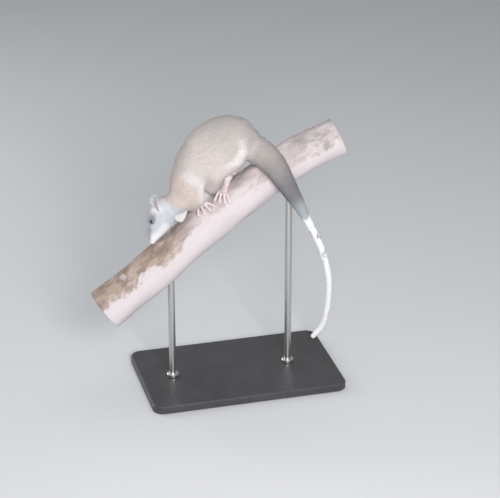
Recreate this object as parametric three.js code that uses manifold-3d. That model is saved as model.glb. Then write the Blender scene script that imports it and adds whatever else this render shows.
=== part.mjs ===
// Woolly opossum climbing down a cut branch, life size, on a plain display stand.
// Millimetres, +Z up, floor at Z 0. The branch lies over the X axis and rises toward +X.
// The animal heads toward -X, so its left side faces -Y, and turns its crown to -Y.
import * as THREE from 'three';
import { mergeVertices } from 'three/addons/utils/BufferGeometryUtils.js';
import Module from 'manifold-3d';

const wasm = await Module();
wasm.setup();

// Puts the middle of the whole over the origin
const MIDDLE_X = 46.35;

// Stand and perch
const PERCH_LIFT = 204;
const PERCH_LINE = [[-215, -71], [-152, -23], [-66, 46], [-15, 83], [60, 132], [130, 163]];
const PERCH_RADIUS_LOW = 31;
const PERCH_RADIUS_HIGH = 28;
const PERCH_SLOPE = 0.8;
const BASE_SIZE = { long: 290, wide: 180, thick: 12, corner: 14, edge: 1.5 };
const BASE_MIDDLE_X = -20;
const ROD_RADIUS = 5;
const ROD_SINK = 6;
const ROD_FOOT = { stand_rod_low: -118, stand_rod_high: 58 };

// Spacing of neighbouring parts
const GAP = 0.3;

// Where the tail is parted
const TAIL_CUTS = [0.3, 0.56];

// Head, in its own frame: X to the nose, Y to its left, Z to the crown
const HEAD_AT = [-131, -1.8, 66.8];
const HEAD_NOSEWARD = [-0.419, -0.301, -0.857];
const HEAD_CROWNWARD = [0.384, -0.913, 0.133];
const EYE_AT = { forward: 10.5, out: 15.9, up: 5 };
const EYE_RADIUS = 3.4;
const LID = { radius: 0.9, ring: 2.85, flatter: 0.82, outward: [0.22, 0.86, 0.46], proud: 1.9 };
const EAR_AT = { forward: -9, out: 14.5, up: 8.5 };
const EAR_SIZE = { long: 28, wide: 23, cup: 4.5, thick: 1.5 };
const EAR_TURN = {
  left: { tip: [-0.42, 0.11, 0.9], opening: [0.35, 0.85, -0.4] },
  right: { tip: [-0.72, -0.68, 0.1], opening: [0.61, -0.79, -0.14] },
};
const NOSE_TIP = 39.5;
const NOSE_PAD = [3, 3.9, 3.1];
const NOSTRIL = { radii: [1.5, 0.8, 0.9], out: 2, up: 0.2 };
const MOUTH = { angle: 112, along: [0.06, 0.16, 0.28, 0.4, 0.5], lip: 1, line: 0.55, cornerDrop: [-1.5, 0, -1.2] };

// Trunk from the shoulders to the root of the tail, and the neck in front of it
const TRUNK = [
  { at: [-93, -4, 99], wide: 27, back: 24, belly: 24, dorsal: [-0.5, -0.7, 0.5] },
  { at: [-88, -3, 121], wide: 28, back: 27, belly: 26, dorsal: [-0.65, -0.55, 0.5] },
  { at: [-76, 0, 141], wide: 32, back: 33, belly: 29, dorsal: [-0.7, -0.35, 0.6] },
  { at: [-58, 3, 157], wide: 36, back: 39, belly: 32, dorsal: [-0.55, -0.1, 0.8] },
  { at: [-38, 5, 163], wide: 38, back: 42, belly: 34, dorsal: [-0.1, 0, 1] },
  { at: [-16, 5, 161], wide: 36, back: 40, belly: 25, dorsal: [0.2, 0, 1] },
  { at: [-2, 3, 158], wide: 28, back: 29, belly: 17, dorsal: [0.2, 0, 1] },
  { at: [9, 0, 155], wide: 20, back: 20, belly: 14, dorsal: [0.25, -0.1, 1] },
];
const NECK = [
  { at: [-95, -4, 101], wide: 20, back: 20, dorsal: [-0.4, -0.8, 0.5] },
  { at: [-106, -4, 90], wide: 18.5, back: 18, dorsal: [-0.3, -0.85, 0.45] },
  { at: [-117, -2, 82], wide: 15, back: 15, dorsal: [-0.1, -0.9, 0.35] },
];

// Tail from inside the rump to the tip
const TAIL = [
  { at: [-2, 1, 156], wide: 17 },
  { at: [10, -12, 156], wide: 19.5 },
  { at: [18, -27, 152], wide: 18.5 },
  { at: [26, -38, 143], wide: 17 },
  { at: [35, -44, 127], wide: 15 },
  { at: [46, -46, 107], wide: 12.4 },
  { at: [58, -42, 86], wide: 9.6 },
  { at: [68, -37, 67], wide: 7.2 },
  { at: [77, -34, 50], wide: 6 },
  { at: [97.5, -27, 7], wide: 5.3 },
  { at: [115.3, -12, -49], wide: 4.9 },
  { at: [121, 2, -92], wide: 4.4 },
  { at: [121, 12, -124], wide: 4.2 },
  { at: [117.5, 21, -151], wide: 4.1 },
  { at: [106.5, 28, -170.5], wide: 3.8 },
];

// Skull with its fur, nose to nape, in the head's own frame
const SKULL = [
  { at: [37.5, 0, -0.6], wide: 4, back: 3.4, belly: 3.4 },
  { at: [33, 0, -0.6], wide: 6.6, back: 5.2, belly: 4.4 },
  { at: [26, 0, -0.2], wide: 10.2, back: 7.7, belly: 5.8 },
  { at: [19, 0, 0], wide: 15, back: 11, belly: 8 },
  { at: [11, 0, 0], wide: 20, back: 14.8, belly: 11.6 },
  { at: [2, 0, 0], wide: 22.6, back: 17.2, belly: 15 },
  { at: [-6, 0, 0], wide: 22, back: 17.4, belly: 16 },
  { at: [-13, 0, 0], wide: 18.6, back: 15.4, belly: 15.6 },
];
const JAW = [
  { at: [32.5, 0, -5.6], wide: 2.6, back: 1.8, belly: 1.8 },
  { at: [27, 0, -5.6], wide: 4.6, back: 2.6, belly: 2.8 },
  { at: [19, 0, -6], wide: 7.4, back: 4, belly: 4.2 },
  { at: [10, 0, -7], wide: 11.5, back: 6, belly: 6.6 },
  { at: [0, 0, -8], wide: 14, back: 8, belly: 8.5 },
];

// Legs: thigh from the hip to the knee, shank to the heel; foreleg from the shoulder to the wrist
const THIGH = {
  left: [
    { at: [-28.5, -16, 152.5], wide: 18, back: 17, dorsal: [0, -1, 0.2] },
    { at: [-41.5, -19.3, 143.5], wide: 16, back: 14, dorsal: [0, -1, 0.1] },
    { at: [-55, -23.3, 132], wide: 12.5, back: 12, dorsal: [0, -1, 0] },
    { at: [-62.6, -25, 116.2], wide: 11.5, back: 10.5, dorsal: [0, -1, 0] },
  ],
  right: [
    { at: [-27, 25, 151], wide: 17, back: 17, dorsal: [0, 1, 0.2] },
    { at: [-35, 31, 139], wide: 19, back: 14, dorsal: [0, 1, 0.1] },
    { at: [-46, 33, 124], wide: 16, back: 12, dorsal: [0, 1, 0] },
    { at: [-53, 31, 114], wide: 12, back: 10.5, dorsal: [0, 1, 0] },
  ],
};
const SHANK = {
  left: [
    { at: [-58.5, -22, 118], wide: 9.5 },
    { at: [-46, -13.5, 118.5], wide: 7 },
    { at: [-32.4, -4.5, 118.2], wide: 5.2 },
  ],
  right: [
    { at: [-51, 29, 111], wide: 11 },
    { at: [-40, 25, 111], wide: 9.5 },
    { at: [-20, 18.5, 117], wide: 7 },
  ],
};
const FORELEG = {
  left: [
    { at: [-85, -12, 112], wide: 14 },
    { at: [-73.5, -13, 104], wide: 9.5 },
    { at: [-68, -10.5, 96.5], wide: 7.6 },
    { at: [-73.5, -5, 83.6], wide: 4.8 },
  ],
  right: [
    { at: [-91, 8, 112], wide: 14 },
    { at: [-86, 19, 100], wide: 10 },
    { at: [-82, 24, 86], wide: 7.6 },
    { at: [-83.5, 23.5, 70], wide: 5.6 },
  ],
};

// Feet: where each heel lies along and round the perch, the way the sole turns, and the spread of its toes
const FOOT = {
  left: { heelX: -13.5, around: 1, outward: -1, turned: 30 },
  right: { heelX: -8, around: 36, outward: 1, turned: 0 },
};
const HAND = {
  left: { heelX: -52.5, around: 3, outward: -1, turned: 70 },
  right: { heelX: -68, around: 42, outward: 1, turned: 0 },
};
const FOOT_FORM = { sole: 18, width: 6.2, depth: 4.2, toes: 4, spread: [-2, 44], reach: 17, thumb: [8, -50, 12] };
const HAND_FORM = { sole: 8, width: 6, depth: 3.6, toes: 4, spread: [-14, 52], reach: 15, thumb: [3, -52, 11] };
const TOE_RADIUS = 2.1;
const CLAW = { long: 3.6, radius: 0.9 };

// How finely each part is divided: sides round it, steps along it, steps of its rounded ends
const PERCH_DETAIL = { sides: 24, steps: 16 };
const TRUNK_DETAIL = { sides: 22, steps: 22, domeSteps: 3 };
const NECK_DETAIL = { sides: 18, steps: 5, domeSteps: 2 };
const TAIL_DETAIL = { sides: 12, steps: 40, domeSteps: 2 };
const LEG_DETAIL = { sides: 12, steps: 6, domeSteps: 2 };
const SKULL_DETAIL = { sides: 20, steps: 14, domeSteps: 3 };
const JAW_DETAIL = { sides: 12, steps: 6, domeSteps: 2 };
const EYE_DETAIL = 12;
const MOUTH_DETAIL = { sides: 5, steps: 6, domeSteps: 1 };
const PAD_DETAIL = { sides: 8, steps: 3, domeSteps: 1 };
const TOE_DETAIL = { sides: 5, steps: 3, domeSteps: 1 };
const CLAW_DETAIL = { sides: 3, steps: 2, domeSteps: 1 };

// Finish of each material
const FINISH = {
  coat: { color: 0xb7a08d, roughness: 0.95 },
  nape: { color: 0xb08c6c, roughness: 0.95 },
  face: { color: 0xd2d2d4, roughness: 0.9 },
  paleFur: { color: 0xe0d6cd, roughness: 0.95 },
  bareSkin: { color: 0xdcc3bb, roughness: 0.6 },
  tailSkin: { color: 0xeee9e2, roughness: 0.55 },
  eye: { color: 0x1a1210, roughness: 0.08 },
  bark: { color: 0x9d8a78, roughness: 0.92 },
  standBoard: { color: 0x2b2b2d, roughness: 0.45 },
  standRod: { color: 0x9b9b9b, roughness: 0.35, metalness: 1 },
};

function vector(values) {
  return new THREE.Vector3(...values);
}

function mesh(name, geometry, finish) {
  const made = new THREE.Mesh(geometry, new THREE.MeshStandardMaterial(finish));
  made.name = name;
  return made;
}

/** Turns a closed three.js geometry into a solid that can be joined and cut. */
function toSolid(geometry) {
  for (const attribute of ['normal', 'uv']) {
    geometry.deleteAttribute(attribute);
  }
  const merged = mergeVertices(geometry);
  return new wasm.Manifold(new wasm.Mesh({
    numProp: 3,
    vertProperties: new Float32Array(merged.attributes.position.array),
    triVerts: new Uint32Array(merged.index.array),
  }));
}

/** Turns a solid back into a geometry, keeping only its largest closed surface. */
function toGeometry(solid) {
  const [largest] = solid.decompose().sort((a, b) => b.volume() - a.volume());
  const { vertProperties, triVerts } = largest.getMesh();
  const geometry = new THREE.BufferGeometry();
  geometry.setAttribute('position', new THREE.BufferAttribute(vertProperties, 3));
  geometry.setIndex(new THREE.BufferAttribute(triVerts, 1));
  geometry.computeVertexNormals();
  return geometry;
}

function union(solids) {
  return solids.reduce((joined, solid) => joined.add(solid));
}

/**
 * A body swept through stations. Each has a place, a half width, and how far the body rises
 * from there toward its back and its belly. The ends are domes, or flat when asked.
 */
class Sweep {
  constructor(stations, { dorsal: usual = [0, 0, 1], flatEnds = false, ripple = () => 0 } = {}) {
    const sizes = stations.map(({ wide, back = wide, belly = back }) => new THREE.Vector3(wide, back, belly));
    const dorsals = stations.map(({ dorsal = usual }) => vector(dorsal).normalize());
    this.path = new THREE.CatmullRomCurve3(stations.map(({ at }) => vector(at)));
    this.sizes = new THREE.CatmullRomCurve3(sizes);
    this.dorsals = new THREE.CatmullRomCurve3(dorsals);
    this.flatEnds = flatEnds;
    this.ripple = ripple;
  }

  frame(t) {
    const along = this.path.getTangent(t);
    const side = this.dorsals.getPoint(t).cross(along).normalize();
    const up = along.clone().cross(side);
    return { centre: this.path.getPoint(t), along, side, up };
  }

  /** The point of the surface at an angle round the path, measured from the back toward the side. */
  point(t, angle, { grow = 0, scale = 1 } = {}) {
    const { centre, side, up } = this.frame(t);
    const { x: wide, y: back, z: belly } = this.sizes.getPoint(t);
    const rise = Math.cos(angle) > 0 ? back : belly;
    const swell = grow + this.ripple(t, angle);
    return centre
      .addScaledVector(side, Math.sin(angle) * (wide + swell) * scale)
      .addScaledVector(up, Math.cos(angle) * (rise + swell) * scale);
  }

  /** Rings from the first end to the last, each with its place, its size and its reach past the end. */
  rings(steps, domeSteps, grow) {
    const spans = Array.from({ length: steps + 1 }, (_, i) => ({ t: i / steps, scale: 1, reach: 0 }));
    if (this.flatEnds) {
      return spans;
    }
    const dome = (t, sign) => {
      const { x: wide, y: back, z: belly } = this.sizes.getPoint(t);
      const depth = Math.min(wide, (back + belly) / 2) + grow;
      return Array.from({ length: domeSteps }, (_, i) => {
        const turn = ((i + 0.6) / (domeSteps + 0.6)) * (Math.PI / 2);
        return { t, scale: Math.sin(turn), reach: sign * depth * Math.cos(turn) };
      });
    };
    return [...dome(0, -1), ...spans, ...dome(1, 1).reverse()];
  }

  solid({ sides, steps, domeSteps = 3, grow = 0 }) {
    const rings = this.rings(steps, domeSteps, grow);
    const last = rings.length - 1;
    const geometry = new THREE.CylinderGeometry(1, 1, 1, sides, last);
    const place = geometry.attributes.position;
    for (let i = 0; i < place.count; i += 1) {
      const { t, scale, reach } = rings[Math.round((0.5 - place.getY(i)) * last)];
      const radial = Math.hypot(place.getX(i), place.getZ(i));
      const angle = Math.atan2(place.getX(i), place.getZ(i));
      const point = radial > 0.5 ? this.point(t, angle, { grow, scale }) : this.frame(t).centre;
      point.addScaledVector(this.frame(t).along, reach);
      place.setXYZ(i, point.x, point.y, point.z);
    }
    return toSolid(geometry);
  }

  /** A thin disc across the body, which parts it there. */
  disc(t, spare) {
    const { centre, along } = this.frame(t);
    const { x: wide, y: back, z: belly } = this.sizes.getPoint(t);
    const geometry = new THREE.CylinderGeometry(1, 1, GAP, 24);
    geometry.scale(Math.max(wide, back, belly) + spare, 1, Math.max(wide, back, belly) + spare);
    geometry.applyQuaternion(new THREE.Quaternion().setFromUnitVectors(new THREE.Vector3(0, 1, 0), along));
    geometry.translate(centre.x, centre.y, centre.z);
    return toSolid(geometry);
  }
}

/** Parts a swept body at the given places and returns its lengths from the first end to the last. */
function partSweep(sweep, solid, cuts, spare) {
  const cut = cuts.reduce((left, t) => left.subtract(sweep.disc(t, spare)), solid);
  const edges = [0, ...cuts, 1];
  const pieces = cut.decompose();
  return edges.slice(1).map((edge, i) => {
    const middle = sweep.path.getPoint((edges[i] + edge) / 2);
    const distance = (piece) => {
      const { min, max } = piece.boundingBox();
      return vector(min).add(vector(max)).multiplyScalar(0.5).distanceTo(middle);
    };
    return [...pieces].sort((a, b) => distance(a) - distance(b))[0];
  });
}

// Perch
function perchRipple(t, angle) {
  const knots = 0.5 * Math.sin(3 * angle + 9 * t) + 0.35 * Math.sin(5 * angle - 23 * t);
  return knots + 0.4 * Math.sin(31 * t + 2 * angle);
}

const perchSweep = new Sweep(PERCH_LINE.map(([x, z], i) => ({
  at: [x, 0, z],
  wide: THREE.MathUtils.lerp(PERCH_RADIUS_LOW, PERCH_RADIUS_HIGH, i / (PERCH_LINE.length - 1)),
})), { flatEnds: true, ripple: perchRipple });

const perch = perchSweep.solid(PERCH_DETAIL);
const perchGrown = perchSweep.solid({ ...PERCH_DETAIL, grow: GAP });

/** How far along the perch its centre line reaches a given X. */
function perchFraction(x) {
  let low = 0;
  let high = 1;
  while (high - low > 1e-4) {
    const middle = (low + high) / 2;
    if (perchSweep.path.getPoint(middle).x < x) {
      low = middle;
    } else {
      high = middle;
    }
  }
  return low;
}

/** A point over the bark: X of the centre line, degrees round it from the top toward +Y, height. */
function overPerch(x, degrees, height) {
  return perchSweep.point(perchFraction(x), THREE.MathUtils.degToRad(degrees), { grow: height });
}

// Stand
function standBase() {
  const { long, wide, thick, corner, edge } = BASE_SIZE;
  const halfLong = long / 2 - edge;
  const halfWide = wide / 2 - edge;
  const outline = new THREE.Shape();
  outline.moveTo(-halfLong + corner, -halfWide);
  outline.lineTo(halfLong - corner, -halfWide);
  outline.absarc(halfLong - corner, -halfWide + corner, corner, -Math.PI / 2, 0);
  outline.absarc(halfLong - corner, halfWide - corner, corner, 0, Math.PI / 2);
  outline.absarc(-halfLong + corner, halfWide - corner, corner, Math.PI / 2, Math.PI);
  outline.absarc(-halfLong + corner, -halfWide + corner, corner, Math.PI, 1.5 * Math.PI);
  const board = new THREE.ExtrudeGeometry(outline, {
    depth: thick - 2 * edge, bevelThickness: edge, bevelSize: edge, bevelSegments: 1, curveSegments: 4,
  });
  board.translate(BASE_MIDDLE_X, 0, edge);
  return toSolid(board);
}

function standRod(x) {
  const bottom = BASE_SIZE.thick + GAP;
  const top = PERCH_LIFT + overPerch(x, 180, 0).z + ROD_SINK;
  const rod = new THREE.CylinderGeometry(ROD_RADIUS, ROD_RADIUS, top - bottom, 24);
  rod.rotateX(Math.PI / 2);
  rod.translate(x, 0, (top + bottom) / 2);
  return toSolid(rod).subtract(perchGrown.translate(0, 0, PERCH_LIFT));
}

// Head
const headFrame = new THREE.Matrix4();
{
  const forward = vector(HEAD_NOSEWARD).normalize();
  const left = vector(HEAD_CROWNWARD).cross(forward).normalize();
  const crown = forward.clone().cross(left);
  headFrame.makeBasis(forward, left, crown).setPosition(vector(HEAD_AT));
}

function inHead(solid) {
  return solid.transform(headFrame.toArray());
}

function ball(radii, at, detail) {
  const sphere = new THREE.SphereGeometry(1, detail, Math.round(detail * 0.7));
  sphere.scale(...radii);
  sphere.translate(...at);
  return toSolid(sphere);
}

const skullSweep = new Sweep(SKULL);
const jawSweep = new Sweep(JAW);

function eyePlace(side) {
  return [EYE_AT.forward, side * EYE_AT.out, EYE_AT.up];
}

/** The two lids, a raised rim round the front of the eyeball. */
function lids(side) {
  const ring = new THREE.TorusGeometry(LID.ring, LID.radius, 5, 14);
  ring.scale(1, LID.flatter, 1);
  const [forward, sideways, upward] = LID.outward;
  const outward = new THREE.Vector3(forward, side * sideways, upward).normalize();
  ring.applyQuaternion(new THREE.Quaternion().setFromUnitVectors(new THREE.Vector3(0, 0, 1), outward));
  const centre = vector(eyePlace(side)).addScaledVector(outward, LID.proud);
  ring.translate(centre.x, centre.y, centre.z);
  return toSolid(ring);
}

/** A tube laid along the upper lip from the front of the mouth to its corner. */
function alongMouth(side, radius, sink) {
  const turn = THREE.MathUtils.degToRad(side * MOUTH.angle);
  const spots = MOUTH.along.map((t) => skullSweep.point(t, -turn, { grow: -sink }));
  spots.push(spots[spots.length - 1].clone().add(vector(MOUTH.cornerDrop)));
  const front = skullSweep.point(0.02, Math.PI, { grow: -sink });
  const tube = new Sweep([front, ...spots].map((spot) => ({ at: spot.toArray(), wide: radius })));
  return tube.solid(MOUTH_DETAIL);
}

function nostril(side) {
  return ball(NOSTRIL.radii, [NOSE_TIP + 0.6, side * NOSTRIL.out, NOSTRIL.up], 8);
}

function headSolid() {
  const skull = skullSweep.solid(SKULL_DETAIL);
  const jaw = jawSweep.solid(JAW_DETAIL);
  const nosePad = ball(NOSE_PAD, [NOSE_TIP - 1.8, 0, 0], 12);
  const raised = [-1, 1].flatMap((side) => [lids(side), alongMouth(side, MOUTH.lip, MOUTH.lip / 2)]);
  const sunk = [-1, 1].flatMap((side) => [
    ball([EYE_RADIUS + GAP, EYE_RADIUS + GAP, EYE_RADIUS + GAP], eyePlace(side), EYE_DETAIL),
    alongMouth(side, MOUTH.line, -MOUTH.line / 2),
    nostril(side),
  ]);
  return union([skull, jaw, nosePad, ...raised]).subtract(union(sunk));
}

function eyeSolid(side) {
  return ball([EYE_RADIUS, EYE_RADIUS, EYE_RADIUS], eyePlace(side), EYE_DETAIL);
}

/** A thin cupped leaf, its rim rolled forward, on a narrow foot. */
function earSolid(name, side) {
  const { long, wide, cup, thick } = EAR_SIZE;
  const leaf = new THREE.SphereGeometry(1, 16, 10);
  leaf.rotateX(Math.PI / 2);
  const place = leaf.attributes.position;
  for (let i = 0; i < place.count; i += 1) {
    const x = place.getX(i);
    const y = place.getY(i);
    const layer = place.getZ(i);
    const narrowing = 1 - 0.34 * y * y;
    const face = Math.sign(layer) * Math.abs(layer) ** 0.4 * (thick / 2);
    const hollow = cup * (x * x + 0.25 * (1 - y) * Math.abs(x));
    place.setXYZ(i, x * narrowing * (wide / 2), (y + 0.78) * (long / 2), face + hollow * narrowing);
  }
  const up = vector(EAR_TURN[name].tip).normalize();
  const across = up.clone().cross(vector(EAR_TURN[name].opening)).normalize();
  const facing = across.clone().cross(up);
  const turn = new THREE.Matrix4().makeBasis(across, up, facing);
  turn.setPosition(EAR_AT.forward, side * EAR_AT.out, EAR_AT.up);
  leaf.applyMatrix4(turn);
  return toSolid(leaf);
}

// Legs and feet
function limb(lengths, grow = 0) {
  const dorsal = [0, -1, 0];
  return union(lengths.map((stations) => new Sweep(stations, { dorsal }).solid({ ...LEG_DETAIL, grow })));
}

/** A spot of a foot: millimetres toward the toes and outward from the heel, and height over the bark. */
function onFoot({ heelX, around, outward, turned }, ahead, aside, height) {
  const turn = THREE.MathUtils.degToRad(turned);
  const down = ahead * Math.cos(turn) - aside * Math.sin(turn);
  const round = ahead * Math.sin(turn) + aside * Math.cos(turn);
  const degrees = around + outward * THREE.MathUtils.radToDeg(round / PERCH_RADIUS_LOW);
  return overPerch(heelX - down * PERCH_SLOPE, degrees, height);
}

function barkNormal(foot) {
  return onFoot(foot, 0, 0, 1).sub(onFoot(foot, 0, 0, 0)).toArray();
}

function toe(foot, ahead, aside, angle, reach, clawed) {
  const turn = THREE.MathUtils.degToRad(angle);
  const spot = (distance, height) => {
    const forward = ahead + distance * Math.cos(turn);
    const sideways = aside + distance * Math.sin(turn);
    return onFoot(foot, forward, sideways, height).toArray();
  };
  const dorsal = barkNormal(foot);
  const bones = new Sweep([
    { at: spot(-2, 3.4), wide: TOE_RADIUS * 1.1 },
    { at: spot(reach * 0.35, 4), wide: TOE_RADIUS },
    { at: spot(reach * 0.72, 2.9), wide: TOE_RADIUS * 0.92 },
    { at: spot(reach, 1.9), wide: TOE_RADIUS * 1.12 },
  ], { dorsal }).solid(TOE_DETAIL);
  if (!clawed) {
    return [bones];
  }
  const claw = new Sweep([
    { at: spot(reach, 2.8), wide: CLAW.radius },
    { at: spot(reach + CLAW.long * 0.6, 2.9), wide: CLAW.radius * 0.75 },
    { at: spot(reach + CLAW.long, 1.2), wide: CLAW.radius * 0.3 },
  ], { dorsal }).solid(CLAW_DETAIL);
  return [bones, claw];
}

function footSolid(foot, form, thumbClawed) {
  const { sole, width, depth, toes, spread, reach, thumb } = form;
  const spot = (ahead, aside, height) => onFoot(foot, ahead, aside, height).toArray();
  const pad = new Sweep([
    { at: spot(-1, 0, 5.4), wide: width * 0.75, back: depth * 1.1 },
    { at: spot(sole * 0.5, 1, 4.2), wide: width * 0.92, back: depth },
    { at: spot(sole, 2.5, 3.4), wide: width * 1.15, back: depth * 0.85 },
  ], { dorsal: barkNormal(foot) }).solid(PAD_DETAIL);
  const pieces = [pad];
  for (let i = 0; i < toes; i += 1) {
    const share = i / (toes - 1);
    const angle = THREE.MathUtils.lerp(spread[0], spread[1], share);
    const aside = 2.5 + width * 0.9 * (2 * share - 1);
    const shorter = reach * (1 - 0.14 * Math.abs(share - 0.4));
    pieces.push(...toe(foot, sole, aside, angle, shorter, true));
  }
  const [thumbAhead, thumbAngle, thumbReach] = thumb;
  pieces.push(...toe(foot, thumbAhead, -1, thumbAngle, thumbReach, thumbClawed));
  return union(pieces);
}

// The parts in their places

const trunkSweep = new Sweep(TRUNK);
const neckSweep = new Sweep(NECK);
const trunk = trunkSweep.solid(TRUNK_DETAIL);
const trunkGrown = trunkSweep.solid({ ...TRUNK_DETAIL, grow: GAP });
const head = inHead(headSolid()).subtract(perchGrown);
const headGrown = inHead(skullSweep.solid({ ...SKULL_DETAIL, grow: GAP }));
const tailSweep = new Sweep(TAIL, { dorsal: [1, 0, 0.6] });

const animal = new THREE.Group();
animal.position.z = PERCH_LIFT;

function addPart(name, solid, finish) {
  animal.add(mesh(name, toGeometry(solid), finish));
}

addPart('perch_branch', perch, FINISH.bark);
addPart('neck', neckSweep.solid(NECK_DETAIL).subtract(union([headGrown, trunkGrown, perchGrown])), FINISH.nape);
addPart('torso', trunk.subtract(union([headGrown, perchGrown])), FINISH.coat);
addPart('head', head, FINISH.face);
const neckGrown = neckSweep.solid({ ...NECK_DETAIL, grow: GAP });
const besideHead = union([headGrown, neckGrown, trunkGrown, perchGrown]);
for (const [name, side] of [['left', 1], ['right', -1]]) {
  addPart(`eye_${name}`, inHead(eyeSolid(side)), FINISH.eye);
  addPart(`ear_${name}`, inHead(earSolid(name, side)).subtract(besideHead), FINISH.bareSkin);
}

const tailGrown = tailSweep.solid({ ...TAIL_DETAIL, grow: GAP });
const tail = tailSweep.solid(TAIL_DETAIL).subtract(trunkGrown).subtract(perchGrown);
const [tailBase, tailMiddle, tailEnd] = partSweep(tailSweep, tail, TAIL_CUTS, 3);
addPart('tail_base', tailBase, FINISH.coat);
addPart('tail_middle', tailMiddle, FINISH.coat);
addPart('tail_end', tailEnd, FINISH.tailSkin);

for (const name of ['left', 'right']) {
  const hindLeg = [THIGH[name], SHANK[name]];
  const foreleg = [FORELEG[name]];
  const clear = union([trunkGrown, neckGrown, tailGrown, perchGrown]);
  const pastHindLeg = union([clear, limb(hindLeg, GAP)]);
  const pastForeleg = union([clear, headGrown, limb(foreleg, GAP)]);
  const foot = footSolid(FOOT[name], FOOT_FORM, false);
  const hand = footSolid(HAND[name], HAND_FORM, true);
  addPart(`hind_leg_${name}`, limb(hindLeg).subtract(clear), FINISH.coat);
  addPart(`foreleg_${name}`, limb(foreleg).subtract(pastHindLeg).subtract(headGrown), FINISH.paleFur);
  addPart(`foot_${name}`, foot.subtract(union([pastHindLeg, pastForeleg])), FINISH.bareSkin);
  addPart(`hand_${name}`, hand.subtract(pastForeleg), FINISH.bareSkin);
}

const group = new THREE.Group();
group.add(mesh('stand_base', toGeometry(standBase()), FINISH.standBoard));
for (const [name, x] of Object.entries(ROD_FOOT)) {
  group.add(mesh(name, toGeometry(standRod(x)), FINISH.standRod));
}
group.add(animal);
group.position.x = MIDDLE_X;

export default group;
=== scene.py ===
"""Looks of a life-size woolly opossum that climbs down a cut branch on a plain display stand.

Lengths in the dataclasses are in millimetres, in the branch's own frame: X along the branch and
rising with it, Z up, the branch's middle at Z 0. PLACE moves them into the row's frame.
"""

import logging
import math
from collections.abc import Callable, Iterator, Sequence
from contextlib import contextmanager
from dataclasses import dataclass, field
from enum import Enum, IntEnum
from typing import NamedTuple

import bmesh
import bpy
import numpy as np
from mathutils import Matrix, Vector


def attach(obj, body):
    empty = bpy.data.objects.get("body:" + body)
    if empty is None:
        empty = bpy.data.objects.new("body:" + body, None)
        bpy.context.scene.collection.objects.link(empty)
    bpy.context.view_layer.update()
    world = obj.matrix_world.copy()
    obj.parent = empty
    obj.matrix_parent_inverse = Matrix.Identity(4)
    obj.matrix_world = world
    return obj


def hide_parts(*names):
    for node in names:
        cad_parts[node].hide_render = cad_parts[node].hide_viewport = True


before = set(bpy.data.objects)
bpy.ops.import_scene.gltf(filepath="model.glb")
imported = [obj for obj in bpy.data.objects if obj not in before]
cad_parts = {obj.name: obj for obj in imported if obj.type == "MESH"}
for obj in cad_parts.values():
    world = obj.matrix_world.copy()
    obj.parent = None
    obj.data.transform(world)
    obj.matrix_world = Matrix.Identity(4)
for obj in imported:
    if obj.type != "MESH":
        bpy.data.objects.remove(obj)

Array = np.ndarray
Point = tuple[float, float, float]
Piece = bpy.types.Object
Material = bpy.types.Material
Mesh = bpy.types.Mesh
Node = bpy.types.Node
Socket = bpy.types.NodeSocket
Value = Socket | Point | float | None

MM = 0.001
PLACE = np.array([46.35, 0.0, 204.0])
FULL_TURN = 2 * math.pi
SIDES = (-1, 1)
NOISE_WAY = np.array([127.1, 311.7, 74.7])
NOISE_GAIN = 43758.5453
NOISE_SEED = 17.31
LOG = logging.getLogger("opossum")


def unit(vectors: Array) -> Array:
    """Vectors scaled to a length of one."""
    length = np.linalg.norm(vectors, axis=-1, keepdims=True)
    return vectors / np.maximum(length, 1e-12)


def smooth(low: float, high: float, value: Array) -> Array:
    """A soft step from 0 at low to 1 at high."""
    share = np.clip((value - low) / (high - low), 0.0, 1.0)
    return share * share * (3.0 - 2.0 * share)


def full_circle(count: int) -> Array:
    """Angles spread evenly round a full turn."""
    return np.linspace(0.0, FULL_TURN, count, endpoint=False)


def to_row(points: Array) -> Array:
    """Points of the branch's frame, in millimetres, moved into the row's frame, in metres."""
    return (np.asarray(points, float) + PLACE) * MM


def hash_noise(points: Array, scale: float, seed: float = 0.0) -> Array:
    """Smooth value noise from -1 to 1.

    Args:
        points: places to read, one row each.
        scale: size of one cell, in the points' own unit.
        seed: offset that gives another pattern.

    Returns:
        One value for each place.
    """
    place = np.asarray(points, float) / scale + seed * NOISE_SEED
    cell = np.floor(place)
    part = place - cell
    part = part * part * (3.0 - 2.0 * part)
    total = np.zeros(len(place))
    for corner in range(8):
        step = np.array([(corner >> axis) & 1 for axis in range(3)])
        key = (cell + step) @ NOISE_WAY
        value = np.modf(np.sin(key) * NOISE_GAIN)[0]
        weight = np.prod(np.where(step == 1, part, 1.0 - part), axis=1)
        total += weight * value
    return total


def layered_noise(points: Array, scale: float, octaves: int, seed: float = 0.0) -> Array:
    """Several layers of smooth noise, each half the size and strength of the last."""
    layers = [hash_noise(points, scale / 2**i, seed + i) / 2**i for i in range(octaves)]
    return sum(layers) / (2.0 - 2.0 ** (1 - octaves))


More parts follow.
